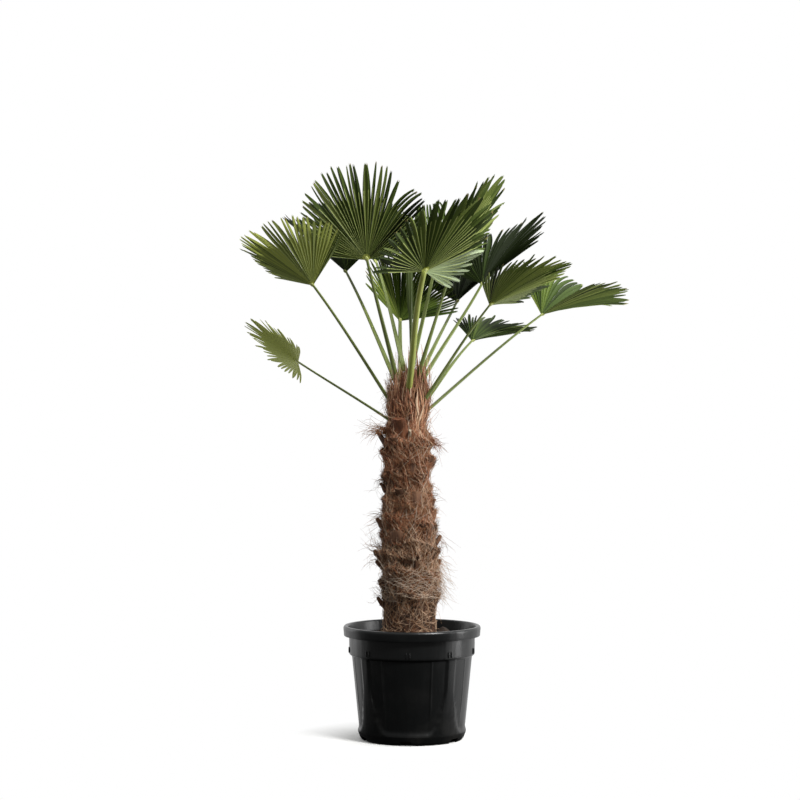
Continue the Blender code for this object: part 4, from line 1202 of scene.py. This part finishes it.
def fan_strips(reach, spread, cup, droop, folded, chance):
    """Points of every segment's stations, in the blade's own axes, by the source's rule.

    A point at an angle from the middle line and a radius lies at (radius cos, radius sin,
    cup radius |sin|^1.5 - droop radius^2 / reach). Across a segment the surface is folded into a V,
    with its margins raised and its midrib lowered in proportion to the segment's width.
    """
    pitch = spread / SEGMENTS
    edges = pitch * (np.arange(SEGMENTS + 1) - SEGMENTS / 2)
    edges[1:-1] += pitch * chance.uniform(-0.2, 0.2, SEGMENTS - 1)
    angles = (edges[1:] + edges[:-1]) / 2
    # Neighbours cling together beyond the split, in bundles of one to three
    bundle = np.cumsum(chance.uniform(0, 1, SEGMENTS) < 0.5)
    middles = np.array([angles[bundle == which].mean() for which in bundle])
    uneven = chance.normal(0, 0.022, SEGMENTS)[bundle - bundle[0]] + chance.normal(0, 0.016, SEGMENTS)
    length = reach * (1 - (1 - SIDE_LENGTH) * np.abs(angles / (spread / 2)) ** 1.6)
    length = length * np.minimum(0.985 + uneven, 0.995)
    split = (JOINED * length * chance.uniform(0.93, 1.08, SEGMENTS))[:, None]
    free = np.array(FREE_SHARES)[None, :]
    radius = np.hstack([split * np.array(STATION_SHARES), split + (length[:, None] - split) * free])
    far = np.concatenate([np.zeros(len(STATION_SHARES)), FREE_SHARES])
    half = np.minimum(radius, split) * np.sin((edges[1:] - edges[:-1]) / 2)[:, None]
    half = half * np.concatenate([np.ones(len(STATION_SHARES)), FREE_WIDTHS])
    fold = half * folded * (1 - 0.3 * far)
    cling = 0.45 * (middles - angles) + pitch * chance.normal(0, 0.16, SEGMENTS)
    angle = (angles[:, None] + cling[:, None] * far**1.5)[..., None]
    stray = reach * chance.normal(-0.004, 0.014, (SEGMENTS, 1)) * far**1.6
    twist = (chance.normal(0, 0.26, (SEGMENTS, 1)) * far)[..., None]
    wide = half[..., None] * LEAF_ACROSS
    tall = fold[..., None] * (2 * np.abs(LEAF_ACROSS) - 1)
    leaned, raised = rotated(wide, tall, twist)
    # The midrib stops short of the two points, which leaves a notch between them
    back = np.append(np.zeros(FAN_STATIONS - 1), NOTCH * reach)[:, None]
    out = radius[..., None] - back * (1 - np.abs(LEAF_ACROSS))
    x, y = rotated(out, leaned, angle)
    spot, own = np.hypot(x, y), np.arctan2(y, x)
    lift = cup * spot * np.abs(np.sin(own)) ** 1.5 - droop * spot**2 / reach
    return np.stack([x, y, lift + stray[..., None] + (raised - LEAF_BELOW * LEAF_THICKNESS)], axis=-1)


def deal_colours(name, chance):
    """Each face's colour: greens in runs of like segments, lifted or lowered by fan as painted light and
    shade, pale ribs below, dry points at some tips, and painted sheen on one lobe.
    """
    run = np.cumsum(chance.normal(0, 0.6, SEGMENTS)) * 0.3 + chance.normal(0, 0.65, SEGMENTS)
    run = run * UNEVENNESS.get(name, 1.0)
    # The fan's tone carries its painted light and shade on top of the random runs.
    tone = run - np.median(run) + FAN_PAINTED_LIGHT[name]
    upper = LEAF["leaf_upper_shade"] + np.digitize(tone - UPPER_PAINTED_LIGHT_DROPS.get(name, 0), TONE_STEPS)
    under = LEAF["leaf_under_shade"] + np.digitize(tone, TONE_STEPS)
    # Painted sheen: the front fan's pale lobe.
    under[:GLAUCOUS_SHEEN_SEGMENTS.get(name, 0)] = LEAF["leaf_under_glaucous_painted_sheen"]
    # Of a segment's ten faces the first four are its upper side, and the seventh and eighth the rib below
    chosen = np.repeat(under, (FAN_STATIONS - 1) * 10).reshape(SEGMENTS, FAN_STATIONS - 1, 10)
    chosen[:, :, :4] = upper[:, None, None]
    if name in RIBBED:
        chosen[:, :6, 6:8] = LEAF["leaf_rib"]
        chosen[:, :3, (0, 3)] = chosen[:, :1] = LEAF["leaf_hub"]
    dry = chance.uniform(0, 1, SEGMENTS) < DRY_SHARE
    chosen[dry, -1] = LEAF["leaf_dry_tip"]
    return chosen.ravel()


def make_fan(frond, materials, seed):
    """One fan: its strips turned into place about the hastula."""
    name, _, _, hastula, pose, reach, spread, cup, droop = frond
    chance = np.random.default_rng(200 + seed)
    strips = fan_strips(reach, math.radians(spread), cup, droop, FAN_FOLDS.get(name, FOLD), chance)
    points = np.array(hastula) + strips.reshape(-1, 3) @ np.array(blade_frame(*pose))
    sides, ends = loft_faces(FAN_STATIONS, len(LEAF_ACROSS), SEGMENTS)
    chosen = np.concatenate([deal_colours(name, chance), np.full(len(ends), LEAF["leaf_rib"])])
    fan = new_mesh_object("fan_" + name, points, [sides, ends], materials, chosen, smooth=False)
    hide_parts("blade_" + name)
    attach(fan, "root")


leaf_materials = []
for row in LEAF_COLOURS:
    material, _, shader = new_material(*row)
    dull = row[0].endswith("shade") or row[0].startswith("leaf_under")
    shader.inputs["Specular IOR Level"].default_value = DULL_SHEEN if dull else LEAF_SHEEN
    leaf_materials.append(material)
for seed, frond in enumerate(FRONDS):
    make_fan(frond, leaf_materials, seed)


# Spear leaf: the youngest leaf, its fan still shut into a pleated blade on a slim stalk.
# It is living leaf, and stands on the crown's middle.
SPEAR_FOOT = np.array((0.000, 0.012, 1.345))
SPEAR_TIP = np.array((-0.012, 0.035, 1.800))
SPEAR_SIDES = 32
SPEAR_PLEATS = 8
SPEAR_STATIONS = (  # share of the height, width, depth as a share of the width, depth of the pleats
    (0.0, 0.012, 0.8, 0.0), (0.36, 0.012, 0.8, 0.0), (0.42, 0.014, 0.75, 0.08), (0.5, 0.022, 0.6, 0.2),
    (0.56, 0.027, 0.5, 0.26), (0.68, 0.027, 0.47, 0.28), (0.78, 0.026, 0.45, 0.28), (0.88, 0.018, 0.5, 0.26),
    (0.95, 0.011, 0.55, 0.2), (1.0, 0.003, 0.6, 0.0),
)
SPEAR_GREEN = "#4A5828"


def make_spear():
    """A loft of fluted ovals, from the crown's middle to a point."""
    turn = all_round(SPEAR_SIDES)
    rings = []
    for share, width, flat, pleat in SPEAR_STATIONS:
        fluted = width / 2 * (1 - pleat * (1 + np.cos(SPEAR_PLEATS * turn)) / 2)
        oval = around(fluted, turn, 0.0) * (1, flat, 1)
        rings.append(SPEAR_FOOT + (SPEAR_TIP - SPEAR_FOOT) * share + oval)
    green, _, _ = new_material("spear_leaf_green", SPEAR_GREEN, 0.42)
    spear = new_mesh_object("spear", rings, loft_faces(len(rings), SPEAR_SIDES), [green])
    spear.data.set_sharp_from_angle(angle=math.radians(40))
    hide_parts("spear_leaf")
    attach(spear, "root")


make_spear()
